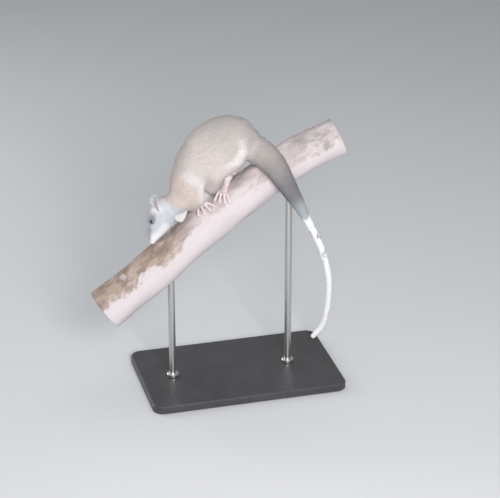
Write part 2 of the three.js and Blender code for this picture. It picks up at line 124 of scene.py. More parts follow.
class Spline:
    """A centripetal Catmull-Rom curve through points of any dimension."""

    SHORTEST = 1e-4

    def __init__(self, points: Sequence[Sequence[float]]) -> None:
        """Keeps the points with one more past each end."""
        place = np.asarray(points, float)
        self.count = len(place)
        self.points = np.vstack([2 * place[0] - place[1], place, 2 * place[-1] - place[-2]])

    def at(self, share: Array) -> Array:
        """Places on the curve.

        Args:
            share: how far along, from 0 at the first point to 1 at the last.

        Returns:
            One place for each share.
        """
        along = np.clip(np.atleast_1d(np.asarray(share, float)), 0.0, 1.0) * (self.count - 1)
        first = np.minimum(along.astype(int), self.count - 2)
        part = (along - first)[:, None]
        p0, p1, p2, p3 = (self.points[first + i] for i in range(4))

        def spacing(a: Array, b: Array) -> Array:
            """The square root of the distance between two places."""
            return np.sum((a - b) ** 2, axis=1, keepdims=True) ** 0.25

        middle = spacing(p1, p2)
        middle = np.where(middle < self.SHORTEST, 1.0, middle)
        before = spacing(p0, p1)
        before = np.where(before < self.SHORTEST, middle, before)
        after = spacing(p2, p3)
        after = np.where(after < self.SHORTEST, middle, after)
        leave = (p1 - p0) / before - (p2 - p0) / (before + middle) + (p2 - p1) / middle
        arrive = (p2 - p1) / middle - (p3 - p1) / (middle + after) + (p3 - p2) / after
        leave, arrive = leave * middle, arrive * middle
        square = -3 * p1 + 3 * p2 - 2 * leave - arrive
        cube = 2 * p1 - 2 * p2 + leave + arrive
        return p1 + part * (leave + part * (square + part * cube))

    def tangent(self, share: Array) -> Array:
        """Unit directions along the curve."""
        share = np.atleast_1d(np.asarray(share, float))
        ahead = self.at(np.minimum(share + self.SHORTEST, 1.0))
        return unit(ahead - self.at(np.maximum(share - self.SHORTEST, 0.0)))


@dataclass(frozen=True)
class Station:
    """One section of a swept form: its centre, half width, and rise to its back and belly."""

    at: Point
    wide: float
    back: float | None = None
    belly: float | None = None
    dorsal: Point | None = None


@dataclass
class MeshData:
    """Vertices and faces of a mesh under construction, in millimetres."""

    places: Array
    faces: list[tuple[int, ...]]

    def object(self, name: str) -> Piece:
        """A Blender object in the row's frame."""
        mesh = bpy.data.meshes.new(name)
        mesh.from_pydata(to_row(self.places).tolist(), [], self.faces)
        return linked(name, mesh)


def linked(name: str, mesh: Mesh) -> Piece:
    """A new object of a mesh, in the scene."""
    made = bpy.data.objects.new(name, mesh)
    bpy.context.scene.collection.objects.link(made)
    return made


def joined(parts: Sequence[MeshData]) -> MeshData:
    """Several meshes as one, left as separate shells."""
    places, faces, start = [], [], 0
    for part in parts:
        places.append(part.places)
        faces += [tuple(i + start for i in face) for face in part.faces]
        start += len(part.places)
    return MeshData(np.vstack(places), faces)


def ring_mesh(rings: Array, close: bool = True) -> MeshData:
    """A closed tube through rings of points.

    Args:
        rings: places as (rings, sides, 3), each ring wound so that faces point outwards.
        close: whether a fan closes each end.

    Returns:
        The mesh.
    """
    count, sides, _ = rings.shape
    places = rings.reshape(-1, 3)
    faces = []
    for i in range(count - 1):
        for j in range(sides):
            k = (j + 1) % sides
            faces.append((i * sides + j, (i + 1) * sides + j, (i + 1) * sides + k, i * sides + k))
    if close:
        first, last = len(places), len(places) + 1
        places = np.vstack([places, rings[0].mean(axis=0), rings[-1].mean(axis=0)])
        end = (count - 1) * sides
        faces += [(first, j, (j + 1) % sides) for j in range(sides)]
        faces += [(last, end + (j + 1) % sides, end + j) for j in range(sides)]
    return MeshData(places, faces)


class Sweep:
    """A body swept through stations, with domed ends."""

    def __init__(self, stations: Sequence[Station], dorsal: Point = (0.0, 0.0, 1.0)) -> None:
        """Lays splines through the stations' places, sizes and dorsal directions."""
        sizes = []
        for station in stations:
            back = station.wide if station.back is None else station.back
            sizes.append((station.wide, back, back if station.belly is None else station.belly))
        ways = [dorsal if station.dorsal is None else station.dorsal for station in stations]
        self.path = Spline([station.at for station in stations])
        self.sizes = Spline(sizes)
        self.dorsals = Spline(unit(np.asarray(ways, float)))

    def frame(self, share: Array) -> tuple[Array, Array, Array, Array]:
        """The centre and the directions along, to the side and to the back."""
        along = self.path.tangent(share)
        side = unit(np.cross(self.dorsals.at(share), along))
        return self.path.at(share), along, side, np.cross(along, side)

    def surface(
        self, share: Array, angle: Array, grow: Array | float = 0.0, scale: Array | float = 1.0
    ) -> Array:
        """Places on the surface.

        Args:
            share: how far along each place lies.
            angle: turn round the path, from the back toward the side.
            grow: millimetres outwards.
            scale: share of the full section.

        Returns:
            One place for each pair of share and angle.
        """
        centre, _, side, up = self.frame(share)
        wide, back, belly = self.sizes.at(share).T
        rise = np.where(np.cos(angle) > 0, back, belly)
        out = np.sin(angle) * (wide + grow) * scale
        lift = np.cos(angle) * (rise + grow) * scale
        return centre + out[:, None] * side + lift[:, None] * up

    def mesh(
        self, sides: int, steps: int, domes: int, grow: Callable[[Array], Array] | None = None
    ) -> MeshData:
        """A closed mesh of the whole form.

        Args:
            sides: points round each ring.
            steps: rings along the path.
            domes: rings on each rounded end.
            grow: millimetres outwards at each share, or None.

        Returns:
            The mesh.
        """
        shares = list(np.linspace(0.0, 1.0, steps + 1))
        turns = [(i + 0.5) / domes * math.pi / 2 for i in range(domes)]
        rows = [(0.0, math.sin(turn), -math.cos(turn)) for turn in turns]
        rows += [(share, 1.0, 0.0) for share in shares]
        rows += [(1.0, math.sin(turn), math.cos(turn)) for turn in reversed(turns)]
        share, scale, reach = (np.repeat(values, sides) for values in np.array(rows).T)
        angle = np.tile(full_circle(sides), len(rows))
        swell = grow(share) if grow else np.zeros(len(share))
        places = self.surface(share, angle, swell, scale)
        wide, back, belly = self.sizes.at(share).T
        depth = np.minimum(wide, (back + belly) / 2) + swell
        places = places + self.frame(share)[1] * (depth * reach)[:, None]
        return ring_mesh(places.reshape(len(rows), sides, 3)[:, ::-1])


TRUNK = (
    Station((-93, -4, 99), 27, 24, 24, dorsal=(-0.5, -0.7, 0.5)),
    Station((-88, -3, 121), 28, 27, 26, dorsal=(-0.65, -0.55, 0.5)),
    Station((-76, 0, 141), 32, 33, 29, dorsal=(-0.7, -0.35, 0.6)),
    Station((-58, 3, 157), 36, 39, 32, dorsal=(-0.55, -0.1, 0.8)),
    Station((-38, 5, 163), 38, 42, 34, dorsal=(-0.1, 0, 1)),
    Station((-16, 5, 161), 36, 40, 25, dorsal=(0.2, 0, 1)),
    Station((-2, 3, 158), 28, 29, 17, dorsal=(0.2, 0, 1)),
    Station((9, 0, 155), 20, 20, 14, dorsal=(0.25, -0.1, 1)),
)
NECK = (
    Station((-95, -4, 101), 20, 20, dorsal=(-0.4, -0.8, 0.5)),
    Station((-106, -4, 90), 18.5, 18, dorsal=(-0.3, -0.85, 0.45)),
    Station((-117, -2, 82), 15, 15, dorsal=(-0.1, -0.9, 0.35)),
)
TAIL = (
    Station((-2, 1, 156), 17),
    Station((10, -12, 156), 19.5),
    Station((18, -27, 152), 18.5),
    Station((26, -38, 143), 17),
    Station((35, -44, 127), 15),
    Station((46, -46, 107), 12.4),
    Station((58, -42, 86), 9.6),
    Station((68, -37, 67), 7.2),
    Station((77, -34, 50), 6),
    Station((97.5, -27, 7), 5.3),
    Station((115.3, -12, -49), 4.9),
    Station((121, 2, -92), 4.4),
    Station((121, 12, -124), 4.2),
    Station((117.5, 21, -151), 4.1),
    Station((106.5, 28, -170.5), 3.8),
)
SKULL = (
    Station((37.5, 0, -0.6), 4, 3.4, 3.4),
    Station((33, 0, -0.6), 6.6, 5.2, 4.4),
    Station((26, 0, -0.2), 10.2, 7.7, 5.8),
    Station((19, 0, 0), 15, 11, 8),
    Station((11, 0, 0), 20, 14.8, 11.6),
    Station((2, 0, 0), 22.6, 17.2, 15),
    Station((-6, 0, 0), 22, 17.4, 16),
    Station((-13, 0, 0), 18.6, 15.4, 15.6),
)
JAW = (
    Station((32.5, 0, -5.6), 2.6, 1.8, 1.8),
    Station((27, 0, -5.6), 4.6, 2.6, 2.8),
    Station((19, 0, -6), 7.4, 4, 4.2),
    Station((10, 0, -7), 11.5, 6, 6.6),
    Station((0, 0, -8), 14, 8, 8.5),
)
THIGH_LEFT = (
    Station((-28.5, -16, 152.5), 18, 17, dorsal=(0, -1, 0.2)),
    Station((-41.5, -19.3, 143.5), 16, 14, dorsal=(0, -1, 0.1)),
    Station((-55, -23.3, 132), 12.5, 12, dorsal=(0, -1, 0)),
    Station((-62.6, -25, 116.2), 11.5, 10.5, dorsal=(0, -1, 0)),
)
THIGH_RIGHT = (
    Station((-27, 25, 151), 17, 17, dorsal=(0, 1, 0.2)),
    Station((-35, 31, 139), 19, 14, dorsal=(0, 1, 0.1)),
    Station((-46, 33, 124), 16, 12, dorsal=(0, 1, 0)),
    Station((-53, 31, 114), 12, 10.5, dorsal=(0, 1, 0)),
)
SHANK_LEFT = (
    Station((-58.5, -22, 118), 9.5),
    Station((-46, -13.5, 118.5), 7),
    Station((-32.4, -4.5, 118.2), 5.2),
)
SHANK_RIGHT = (
    Station((-51, 29, 111), 11),
    Station((-40, 25, 111), 9.5),
    Station((-20, 18.5, 117), 7),
)
FORELEG_LEFT = (
    Station((-85, -12, 112), 14),
    Station((-73.5, -13, 104), 9.5),
    Station((-68, -10.5, 96.5), 7.6),
    Station((-73.5, -5, 83.6), 4.8),
)
FORELEG_RIGHT = (
    Station((-91, 8, 112), 14),
    Station((-86, 19, 100), 10),
    Station((-82, 24, 86), 7.6),
    Station((-83.5, 23.5, 70), 5.6),
)


@dataclass(frozen=True)
class Growth:
    """How the coat grows on one part, as values spread evenly from its first end to its last.

    depth is how far the skin lies under the tips, long and wide are a tuft's size, dense is its
    share of the full number, comb is how far it turns toward the belly, and sense is 1 where the
    hair runs with the part's stations.
    """

    depth: tuple[float, ...]
    long: tuple[float, ...]
    wide: tuple[float, ...]
    dense: tuple[float, ...] = (1.0, 1.0)
    comb: float = 0.0
    sense: int = 1

    def read(self, name: str, share: Array) -> Array:
        """One of the value lists at the given shares."""
        values = getattr(self, name)
        return np.interp(share, np.linspace(0.0, 1.0, len(values)), values)


class Region(IntEnum):
    """The regions of the coat, each a piece of its own."""

    BARE = 0
    HEAD = 1
    NECK = 2
    TRUNK_FRONT = 3
    TRUNK_REAR = 4
    TAIL = 5
    LEGS = 6


@dataclass
class BodyPart:
    """One swept form of the body with its coat."""

    name: str
    sweep: Sweep
    growth: Growth
    region: Region
    sides: int = 48
    steps: int = 60


@dataclass(frozen=True)
class HeadFrame:
    """The head's own frame: X to the nose, Y to its left, Z to the crown."""

    at: Point = (-131.0, -1.8, 66.8)
    noseward: Point = (-0.419, -0.301, -0.857)
    crownward: Point = (0.384, -0.913, 0.133)

    def axes(self) -> Array:
        """The frame's three directions, one in each row."""
        forward = unit(np.array(self.noseward))
        left = unit(np.cross(np.array(self.crownward), forward))
        return np.array([forward, left, np.cross(forward, left)])

    def place(self, points: Array) -> Array:
        """Points of the head's frame in the branch's frame."""
        return np.asarray(points, float) @ self.axes() + np.array(self.at)

    def place_rings(self, rings: Array) -> Array:
        """Rings of points of the head's frame in the branch's frame."""
        return self.place(rings.reshape(-1, 3)).reshape(rings.shape)

    def local(self, points: Array) -> Array:
        """Points of the branch's frame in the head's frame."""
        return (np.asarray(points, float) - np.array(self.at)) @ self.axes().T

    def sweep(self, stations: Sequence[Station]) -> Sweep:
        """A sweep whose stations are given in the head's frame."""
        moved = [
            Station(tuple(self.place(np.array(s.at))), s.wide, s.back, s.belly) for s in stations
        ]
        return Sweep(moved, tuple(self.axes()[2]))


@dataclass(frozen=True)
class Branch:
    """The cut branch that carries the animal."""

    line: tuple[tuple[float, float], ...] = (
        (-215, -71), (-152, -23), (-66, 46), (-15, 83), (60, 132), (130, 163),
    )
    radius_low: float = 31.0
    radius_high: float = 28.0
    slope: float = 0.8
    sides: int = 150
    steps: int = 330
    cap_rings: int = 14

    def sweep(self) -> Sweep:
        """The branch's smooth form."""
        last = len(self.line) - 1
        radii = [self.radius_low + (self.radius_high - self.radius_low) * i / last for i in range(last + 1)]
        return Sweep([Station((x, 0.0, z), radii[i]) for i, (x, z) in enumerate(self.line)])

    @staticmethod
    def ripple(share: Array, angle: Array) -> Array:
        """Slow swellings of the wood, in millimetres."""
        knots = 0.5 * np.sin(3 * angle + 9 * share) + 0.35 * np.sin(5 * angle - 23 * share)
        return knots + 0.4 * np.sin(31 * share + 2 * angle)

    def over(self, x: float, degrees: float, height: float) -> Array:
        """A place over the bark.

        Args:
            x: where the branch's centre line is read.
            degrees: turn round it, from the top toward +Y.
            height: millimetres above the bark.

        Returns:
            One place.
        """
        sweep = self.sweep()
        shares = np.linspace(0.0, 1.0, 2001)
        share = np.interp(x, sweep.path.at(shares)[:, 0], shares)
        angle = np.array([math.radians(degrees)])
        share = np.array([share])
        return sweep.surface(share, angle, height + self.ripple(share, angle))[0]


class Digit(NamedTuple):
    """One toe: its start ahead and aside, its angle, its length, and whether it has a claw."""

    ahead: float
    aside: float
    angle: float
    reach: float
    clawed: bool


@dataclass(frozen=True)
class FootForm:
    """Sizes of a foot or hand: its pad, its toes, and the thumb's start, angle and length.

    row_aside and row_width place the row of toes, and the toes shorten away from long_share.
    """

    sole: float
    width: float
    depth: float
    spread: tuple[float, float]
    reach: float
    thumb: tuple[float, float, float]
    thumb_clawed: bool
    toes: int = 4
    toe_radius: float = 2.1
    claw_long: float = 3.6
    claw_radius: float = 0.9
    row_aside: float = 2.5
    row_width: float = 0.9
    long_share: float = 0.4
    shorter: float = 0.14


@dataclass(frozen=True)
class Foot:
    """One foot or hand where it grips the branch.

    The rows of a toe and a claw give the share of its length, the height over the bark and the
    share of its radius.
    """

    TOE_ROOT = (-2.0, 3.4, 1.1)
    TOE_ROWS = ((0.2, 4.0, 1.0), (0.38, 4.1, 1.04), (0.6, 3.4, 0.86), (0.8, 2.6, 0.96), (1.0, 2.0, 1.12))
    CLAW_ROWS = ((-0.6, 3.0, 0.95), (0.25, 3.1, 0.85), (0.65, 2.7, 0.6), (1.0, 1.4, 0.16))
    CLAW_HIGHER = 1.25

    heel_x: float
    around: float
    outward: int
    turned: float
    form: FootForm
    branch: Branch

    def spot(self, ahead: float, aside: float, height: float) -> Point:
        """A place of the foot: millimetres toward the toes, outward, and over the bark."""
        turn = math.radians(self.turned)
        down = ahead * math.cos(turn) - aside * math.sin(turn)
        across = ahead * math.sin(turn) + aside * math.cos(turn)
        degrees = self.around + self.outward * math.degrees(across / self.branch.radius_low)
        return tuple(self.branch.over(self.heel_x - down * self.branch.slope, degrees, height))

    def swept(self, stations: Sequence[Station]) -> Sweep:
        """A sweep whose back faces away from the bark at the heel."""
        return Sweep(stations, tuple(np.subtract(self.spot(0, 0, 1), self.spot(0, 0, 0))))

    def pad(self) -> Sweep:
        """The sole and palm."""
        form = self.form
        return self.swept([
            Station(self.spot(-1, 0, 5.4), form.width * 0.75, form.depth * 1.1),
            Station(self.spot(form.sole * 0.5, 1, 4.2), form.width * 0.92, form.depth),
            Station(self.spot(form.sole, 2.5, 3.4), form.width * 1.15, form.depth * 0.85),
        ])

    def digits(self) -> list[Digit]:
        """The toes and the thumb."""
        form = self.form
        found = []
        for i in range(form.toes):
            share = i / (form.toes - 1)
            angle = form.spread[0] + (form.spread[1] - form.spread[0]) * share
            aside = form.row_aside + form.width * form.row_width * (2 * share - 1)
            reach = form.reach * (1 - form.shorter * abs(share - form.long_share))
            found.append(Digit(form.sole, aside, angle, reach, True))
        ahead, angle, reach = form.thumb
        found.append(Digit(ahead, -1.0, angle, reach, form.thumb_clawed))
        return found

    def along_digit(self, digit: Digit, distance: float, height: float) -> Point:
        """A place at a distance along one toe."""
        turn = math.radians(digit.angle)
        ahead = digit.ahead + distance * math.cos(turn)
        return self.spot(ahead, digit.aside + distance * math.sin(turn), height)

    def toe(self, digit: Digit) -> Sweep:
        """One toe, with its knuckle and the pad of its tip."""
        rows = (self.TOE_ROOT, *((digit.reach * share, high, wide) for share, high, wide in self.TOE_ROWS))
        radius = self.form.toe_radius
        return self.swept([
            Station(self.along_digit(digit, distance, high), radius * wide) for distance, high, wide in rows
        ])

    def claw(self, digit: Digit) -> Sweep:
        """One curved claw."""
        stations = []
        for share, high, wide in self.CLAW_ROWS:
            radius = self.form.claw_radius * wide
            place = self.along_digit(digit, digit.reach + self.form.claw_long * share, high)
            stations.append(Station(place, radius, radius * self.CLAW_HIGHER))
        return self.swept(stations)


class Tone(Enum):
    """Colours of the fur, the skin and the branch, as eight-bit screen values, with painted shade for the
    back and creases and painted light for the heel and jaw.
    """

    # Painted shade: the darker tone for the back's upper side, where light only grazes the fur.
    BACK = (163, 159, 157)
    FLANK = (201, 192, 189)
    HIP = (184, 179, 176)
    NAPE = (208, 194, 188)
    SHOULDER = (224, 220, 219)
    GROIN = (223, 219, 217)
    # Painted shade for the creases between the limbs and the body.
    CREASE = (167, 157, 156)
    # Pale pink heel skin, brightened further as a painted highlight.
    HEEL = (252, 240, 242)
    FACE = (196, 198, 206)
    MASK = (137, 139, 149)
    MUZZLE = (232, 231, 233)
    NOSE = (224, 209, 217)
    # Pale jaw colour, made brighter as painted light where the head's side turns away from the lamps.
    CHIN = (209, 211, 218)
    SKIN_PINK = (232, 217, 221)
    TAIL_FUR = (165, 157, 154)
    TAIL_DUSK = (126, 124, 129)
    TAIL_SLATE = (172, 180, 185)
    TAIL_WHITE = (252, 255, 255)
    TAIL_SPOT = (128, 128, 132)

    def linear(self) -> Array:
        """The colour as reflected light, from 0 to 1."""
        share = np.array(self.value) / 255.0
        light = np.where(share > 0.04045, ((share + 0.055) / 1.055) ** 2.4, share / 12.92)
        return light * 0.8


@dataclass(frozen=True)
class Marking:
    """A soft-edged patch of colour round the line between two places."""

    tone: Tone
    start: Point
    end: Point
    radius: float
    soft: float
    strength: float = 1.0

    def cover(self, points: Array) -> Array:
        """How strongly the patch covers each point, from 0 to 1."""
        a, b = np.array(self.start, float), np.array(self.end, float)
        along = b - a
        share = np.clip(((points - a) @ along) / max(along @ along, 1e-9), 0.0, 1.0)
        gap = np.linalg.norm(points - (a + share[:, None] * along), axis=1)
        ragged = gap + 1.6 * hash_noise(points, 7.0, self.radius)
        return self.strength * (1.0 - smooth(self.radius, self.radius + self.soft, ragged))


class Anatomy:
    """The body's swept forms, and what the skin and coat read from them."""

    TAIL_SAMPLES = 90
    PART_SAMPLES = 40
    TOE_SAMPLES = 8
    BLOCK = 4000
    SHARPNESS = 14.0
    GROWTH = ("depth", "long", "wide", "dense")

    def __init__(self) -> None:
        """Lays out every part of the body."""
        self.head = HeadFrame()
        self.branch = Branch()
        self.parts = self._parts()
        self.feet = self._feet()
        self._sample()

    def _parts(self) -> list[BodyPart]:
        """The furred and bare forms, without the feet."""
        trunk = Growth(
            (1.5, 1.6, 1.6, 1.6, 1.6, 1.5), (7, 7.5, 7.5, 7.5, 7.5, 7), (1.3, 1.35, 1.35, 1.3), comb=0.6,
        )
        neck = Growth((1.5, 1.4, 1.3), (6.5, 6, 5.5), (1.2, 1.1, 1.0), comb=0.2, sense=-1)
        skull = Growth(
            (0.1, 0.25, 0.45, 0.7, 0.9, 1.1, 1.3, 1.5), (0.9, 1.6, 2.6, 3.4, 4.4, 5.6, 7.0, 8.0),
            (0.35, 0.45, 0.55, 0.65, 0.75, 0.85, 0.95, 1.0), (0.0, 0.7, 1, 1, 1, 1, 1, 1), comb=0.1,
        )
        jaw = Growth(
            (0.1, 0.3, 0.6, 0.9, 1.1), (1.0, 2.0, 3.0, 4.0, 5.0), (0.4, 0.5, 0.6, 0.7, 0.9),
            (0.5, 1, 1, 1, 1),
        )
        tail = Growth(
            (1.5, 1.5, 1.5, 1.4, 1.3, 1.1, 0.8, 0.45, 0.15) + (0.0,) * 6,
            (7, 7, 7, 6.5, 6, 5.5, 4.5, 3.4, 2.4) + (1.5,) * 6,
            (1.2, 1.2, 1.2, 1.1, 1.0, 0.9, 0.8, 0.7, 0.5) + (0.4,) * 6,
            (1, 1, 1, 1, 1, 1, 1, 1, 0.35) + (0.0,) * 6,
        )
        thigh = Growth((1.5, 1.5, 1.4, 1.2), (7, 6.5, 6, 5.5), (1.2, 1.15, 1.1, 1.0), comb=0.2)
        shank = Growth((1.3, 1.0, 0.6), (6, 4.5, 3), (1.1, 0.9, 0.7), (1, 1, 0.9))
        foreleg = Growth((1.5, 1.3, 1.0, 0.5), (7, 5.5, 4.5, 3), (1.2, 1.0, 0.8, 0.7), (1, 1, 1, 0.9))
        outward = (0.0, -1.0, 0.0)
        legs = (
            ("thigh_left", THIGH_LEFT, thigh), ("thigh_right", THIGH_RIGHT, thigh),
            ("shank_left", SHANK_LEFT, shank), ("shank_right", SHANK_RIGHT, shank),
            ("foreleg_left", FORELEG_LEFT, foreleg), ("foreleg_right", FORELEG_RIGHT, foreleg),
        )
        return [
            BodyPart("trunk", Sweep(TRUNK), trunk, Region.TRUNK_REAR, 72, 110),
            BodyPart("neck", Sweep(NECK), neck, Region.NECK, 56, 30),
            BodyPart("skull", self.head.sweep(SKULL), skull, Region.HEAD, 72, 90),
            BodyPart("jaw", self.head.sweep(JAW), jaw, Region.HEAD, 48, 50),
            BodyPart("tail", Sweep(TAIL, (1.0, 0.0, 0.6)), tail, Region.TAIL, 40, 260),
            *(BodyPart(name, Sweep(form, outward), growth, Region.LEGS) for name, form, growth in legs),
        ]

    def _feet(self) -> list[Foot]:
        """The left and right hind foot, then the left and right hand."""
        foot = FootForm(18, 6.2, 4.2, (-2, 44), 17, (8, -50, 12), False)
        hand = FootForm(8, 6, 3.6, (-14, 52), 15, (3, -52, 11), True)
        rows = (
            (-13.5, 1, -1, 30, foot), (-8, 36, 1, 0, foot),
            (-52.5, 3, -1, 70, hand), (-68, 42, 1, 0, hand),
        )
        return [Foot(*row, self.branch) for row in rows]

    def within(self, source: Array, *names: str) -> Array:
        """Which sources are parts whose names begin with one of these."""
        return np.isin(source, [i for i, part in enumerate(self.parts) if part.name.startswith(names)])

    def _sample(self) -> None:
        """Reads each form at even shares, for finding what lies nearest to a point."""
        bare = Growth((0.0, 0.0), (2.0, 1.4), (0.5, 0.4), (0.0, 0.0))
        samples = {part.sweep: self.PART_SAMPLES for part in self.parts}
        samples |= {part.sweep: self.TAIL_SAMPLES for part in self.parts if part.name == "tail"}
        self.sources = [(part.sweep, part.growth, part.region) for part in self.parts]
        for foot in self.feet:
            forms = [foot.pad(), *(foot.toe(digit) for digit in foot.digits())]
            self.sources += [(form, bare, Region.BARE) for form in forms]
        rows, owner, shares = [], [], []
        for i, (sweep, growth, _) in enumerate(self.sources):
            count = samples.get(sweep, self.TOE_SAMPLES)
            share = np.linspace(0.0, 1.0, count)
            centre, along, _, up = sweep.frame(share)
            radius = sweep.sizes.at(share).mean(axis=1)
            values = [growth.read(name, share) for name in self.GROWTH]
            comb = np.full(count, growth.comb)
            rows.append(np.column_stack([centre, radius, along * growth.sense, up, *values, comb]))
            owner.append(np.full(count, i))
            shares.append(share)
        self.rows = np.vstack(rows)
        self.owner = np.concatenate(owner)
        self.shares = np.concatenate(shares)

    def read(self, points: Array) -> dict[str, Array]:
        """What the nearest forms say at each point.

        Args:
            points: places in the branch's frame.

        Returns:
            Blended values by name, with the nearest source's index and share there.
        """
        centre, radius = self.rows[:, :3], self.rows[:, 3]
        blended, nearest = [], []
        for start in range(0, len(points), self.BLOCK):
            block = points[start : start + self.BLOCK]
            square = (block**2).sum(1)[:, None] + (centre**2).sum(1)[None] - 2 * block @ centre.T
            score = np.sqrt(np.maximum(square, 0.0)) / radius
            lowest = score.min(axis=1, keepdims=True)
            weight = np.exp(-self.SHARPNESS * (score - lowest))
            weight /= weight.sum(axis=1, keepdims=True)
            blended.append(weight @ self.rows[:, 4:])
            nearest.append(score.argmin(axis=1))
        values, first = np.vstack(blended), np.concatenate(nearest)
        found = {name: values[:, 6 + i] for i, name in enumerate((*self.GROWTH, "comb"))}
        found |= {"along": unit(values[:, :3]), "up": unit(values[:, 3:6])}
        return found | {"source": self.owner[first], "share": self.shares[first]}

    def angle(self, points: Array, source: Array, share: Array) -> Array:
        """The turn of each point round its nearest form, from 0 to 1."""
        turn = np.zeros(len(points))
        for i in np.unique(source):
            chosen = source == i
            centre, _, side, up = self.sources[i][0].frame(share[chosen])
            out = points[chosen] - centre
            turn[chosen] = np.arctan2((out * side).sum(1), (out * up).sum(1))
        return turn / FULL_TURN + 0.5


@dataclass(frozen=True)
class FaceForm:
    """Sizes of the eyes, lids, nose and mouth, in the head's frame."""

    eye_at: Point = (10.5, 15.9, 5.0)
    eye_radius: float = 3.4
    lid_ring: float = 2.8
    lid_radius: float = 0.85
    lid_flatter: float = 0.82
    lid_outward: Point = (0.22, 0.86, 0.46)
    lid_proud: float = 1.9
    nose_tip: float = 39.5
    nose_pad: Point = (3.0, 3.9, 3.1)
    nostril_out: float = 2.0
    mouth_angle: float = 112.0
    mouth_along: tuple[float, ...] = (0.03, 0.06, 0.16, 0.28, 0.4, 0.5)
    mouth_drop: Point = (-1.5, 0.0, -1.2)
    mouth_cut: tuple[float, float] = (0.75, 0.5)
    lip: Point = (0.35, 1.4, 0.8)
    nostril_cut: tuple[float, float] = (1.5, 0.8)
    slit_cut: tuple[float, float] = (0.8, 0.8)
    groove_cut: tuple[float, float] = (0.55, 0.45)
    box: Point = (46.0, 24.0, 22.0)

    def eye(self, side: int) -> Array:
        """The centre of an eyeball."""
        forward, out, up = self.eye_at
        return np.array([forward, side * out, up])

    def outward(self, side: int) -> Array:
        """The direction that an eye looks in."""
        forward, out, up = self.lid_outward
        return unit(np.array([forward, side * out, up]))

    def lid(self, side: int) -> MeshData:
        """The rim of both lids round one eye."""
        outward = self.outward(side)
        forward = unit(np.array([1.0, 0.0, 0.0]) - outward[0] * outward)
        upward = np.cross(outward, forward)
        rings = []
        for a in full_circle(48):
            out = math.cos(a) * forward + self.lid_flatter * math.sin(a) * upward
            corner = 1.0 + 0.1 * abs(math.cos(a)) ** 6
            middle = self.eye(side) + outward * self.lid_proud + out * self.lid_ring * corner
            ways = (math.cos(b) * unit(out) + math.sin(b) * outward for b in full_circle(16))
            rings.append([middle + self.lid_radius * way for way in ways])
        rings.append(rings[0])
        return ring_mesh(np.array(rings)[:, ::-1] if side > 0 else np.array(rings), close=False)

    def mouth(self, skull: Sweep, side: int) -> Array:
        """Places along one side of the mouth, from the front to its corner."""
        share = np.array(self.mouth_along)
        turn = math.radians(-side * self.mouth_angle)
        angle = np.where(share < 0.05, math.copysign(math.pi, turn), turn)
        return skull.surface(share, angle)


def relax(places: Array, edges: Array, rounds: int, weight: Array | float, keep: bool = False) -> Array:
    """Draws each vertex toward its neighbours.

    Args:
        places: the vertices.
        edges: pairs of vertex indices.
        rounds: how often.
        weight: how far each time, for all or for each vertex.
        keep: whether every second round pushes back, which holds the volume.

    Returns:
        The moved vertices.
    """
    count = len(places)
    a, b = edges.T
    degree = np.maximum(np.bincount(edges.ravel(), minlength=count), 1)
    moved = places.copy()
    for i in range(rounds):
        total = np.empty_like(moved)
        for axis in range(moved.shape[1]):
            column = moved[:, axis]
            total[:, axis] = np.bincount(a, column[b], count) + np.bincount(b, column[a], count)
        pull = weight * (-1.04 if keep and i % 2 else 1.0)
        pull = pull[:, None] if isinstance(pull, np.ndarray) else pull
        moved += pull * (total / degree[:, None] - moved)
    return moved


def dent(gap: Array, depth: float, wide: float) -> Array:
    """A smooth dent of a depth and width, at each distance from its middle."""
    return depth * np.exp(-((gap / wide) ** 2))


def evaluated_mesh(source: Piece, name: str) -> Piece:
    """A plain object of what the modifiers of another make, which is then removed."""
    graph = bpy.context.evaluated_depsgraph_get()
    mesh = bpy.data.meshes.new_from_object(source.evaluated_get(graph))
    mesh.name = name
    made = linked(name, mesh)
    bpy.data.objects.remove(source)
    return made


@contextmanager
def editing(mesh: Mesh) -> Iterator[bmesh.types.BMesh]:
    """A mesh open for edits, which are written back at the end."""
    work = bmesh.new()
    work.from_mesh(mesh)
    work.verts.ensure_lookup_table()
    yield work
    work.to_mesh(mesh)
    work.free()


def face_outwards(mesh: Mesh) -> None:
    """Turns every face outwards and shades it softly."""
    with editing(mesh) as work:
        bmesh.ops.recalc_face_normals(work, faces=work.faces)
    soften(mesh)


def soften(mesh: Mesh) -> None:
    """Shades every face softly."""
    for polygon in mesh.polygons:
        polygon.use_smooth = True


def read_vectors(items: bpy.types.bpy_prop_collection, key: str) -> Array:
    """Every vector of a mesh's collection as rows."""
    flat = np.zeros(len(items) * 3, np.float32)
    items.foreach_get(key, flat)
    return flat.reshape(-1, 3).astype(float)


def store(
    mesh: Mesh, name: str, values: Array, kind: str = "FLOAT", domain: str = "POINT"
) -> None:
    """Writes a named attribute of a mesh."""
    attribute = mesh.attributes.new(name, kind, domain)
    key = {"FLOAT": "value", "INT": "value", "FLOAT_COLOR": "color"}.get(kind, "vector")
    number = np.int32 if kind == "INT" else np.float32
    attribute.data.foreach_set(key, np.ascontiguousarray(values, number).ravel())


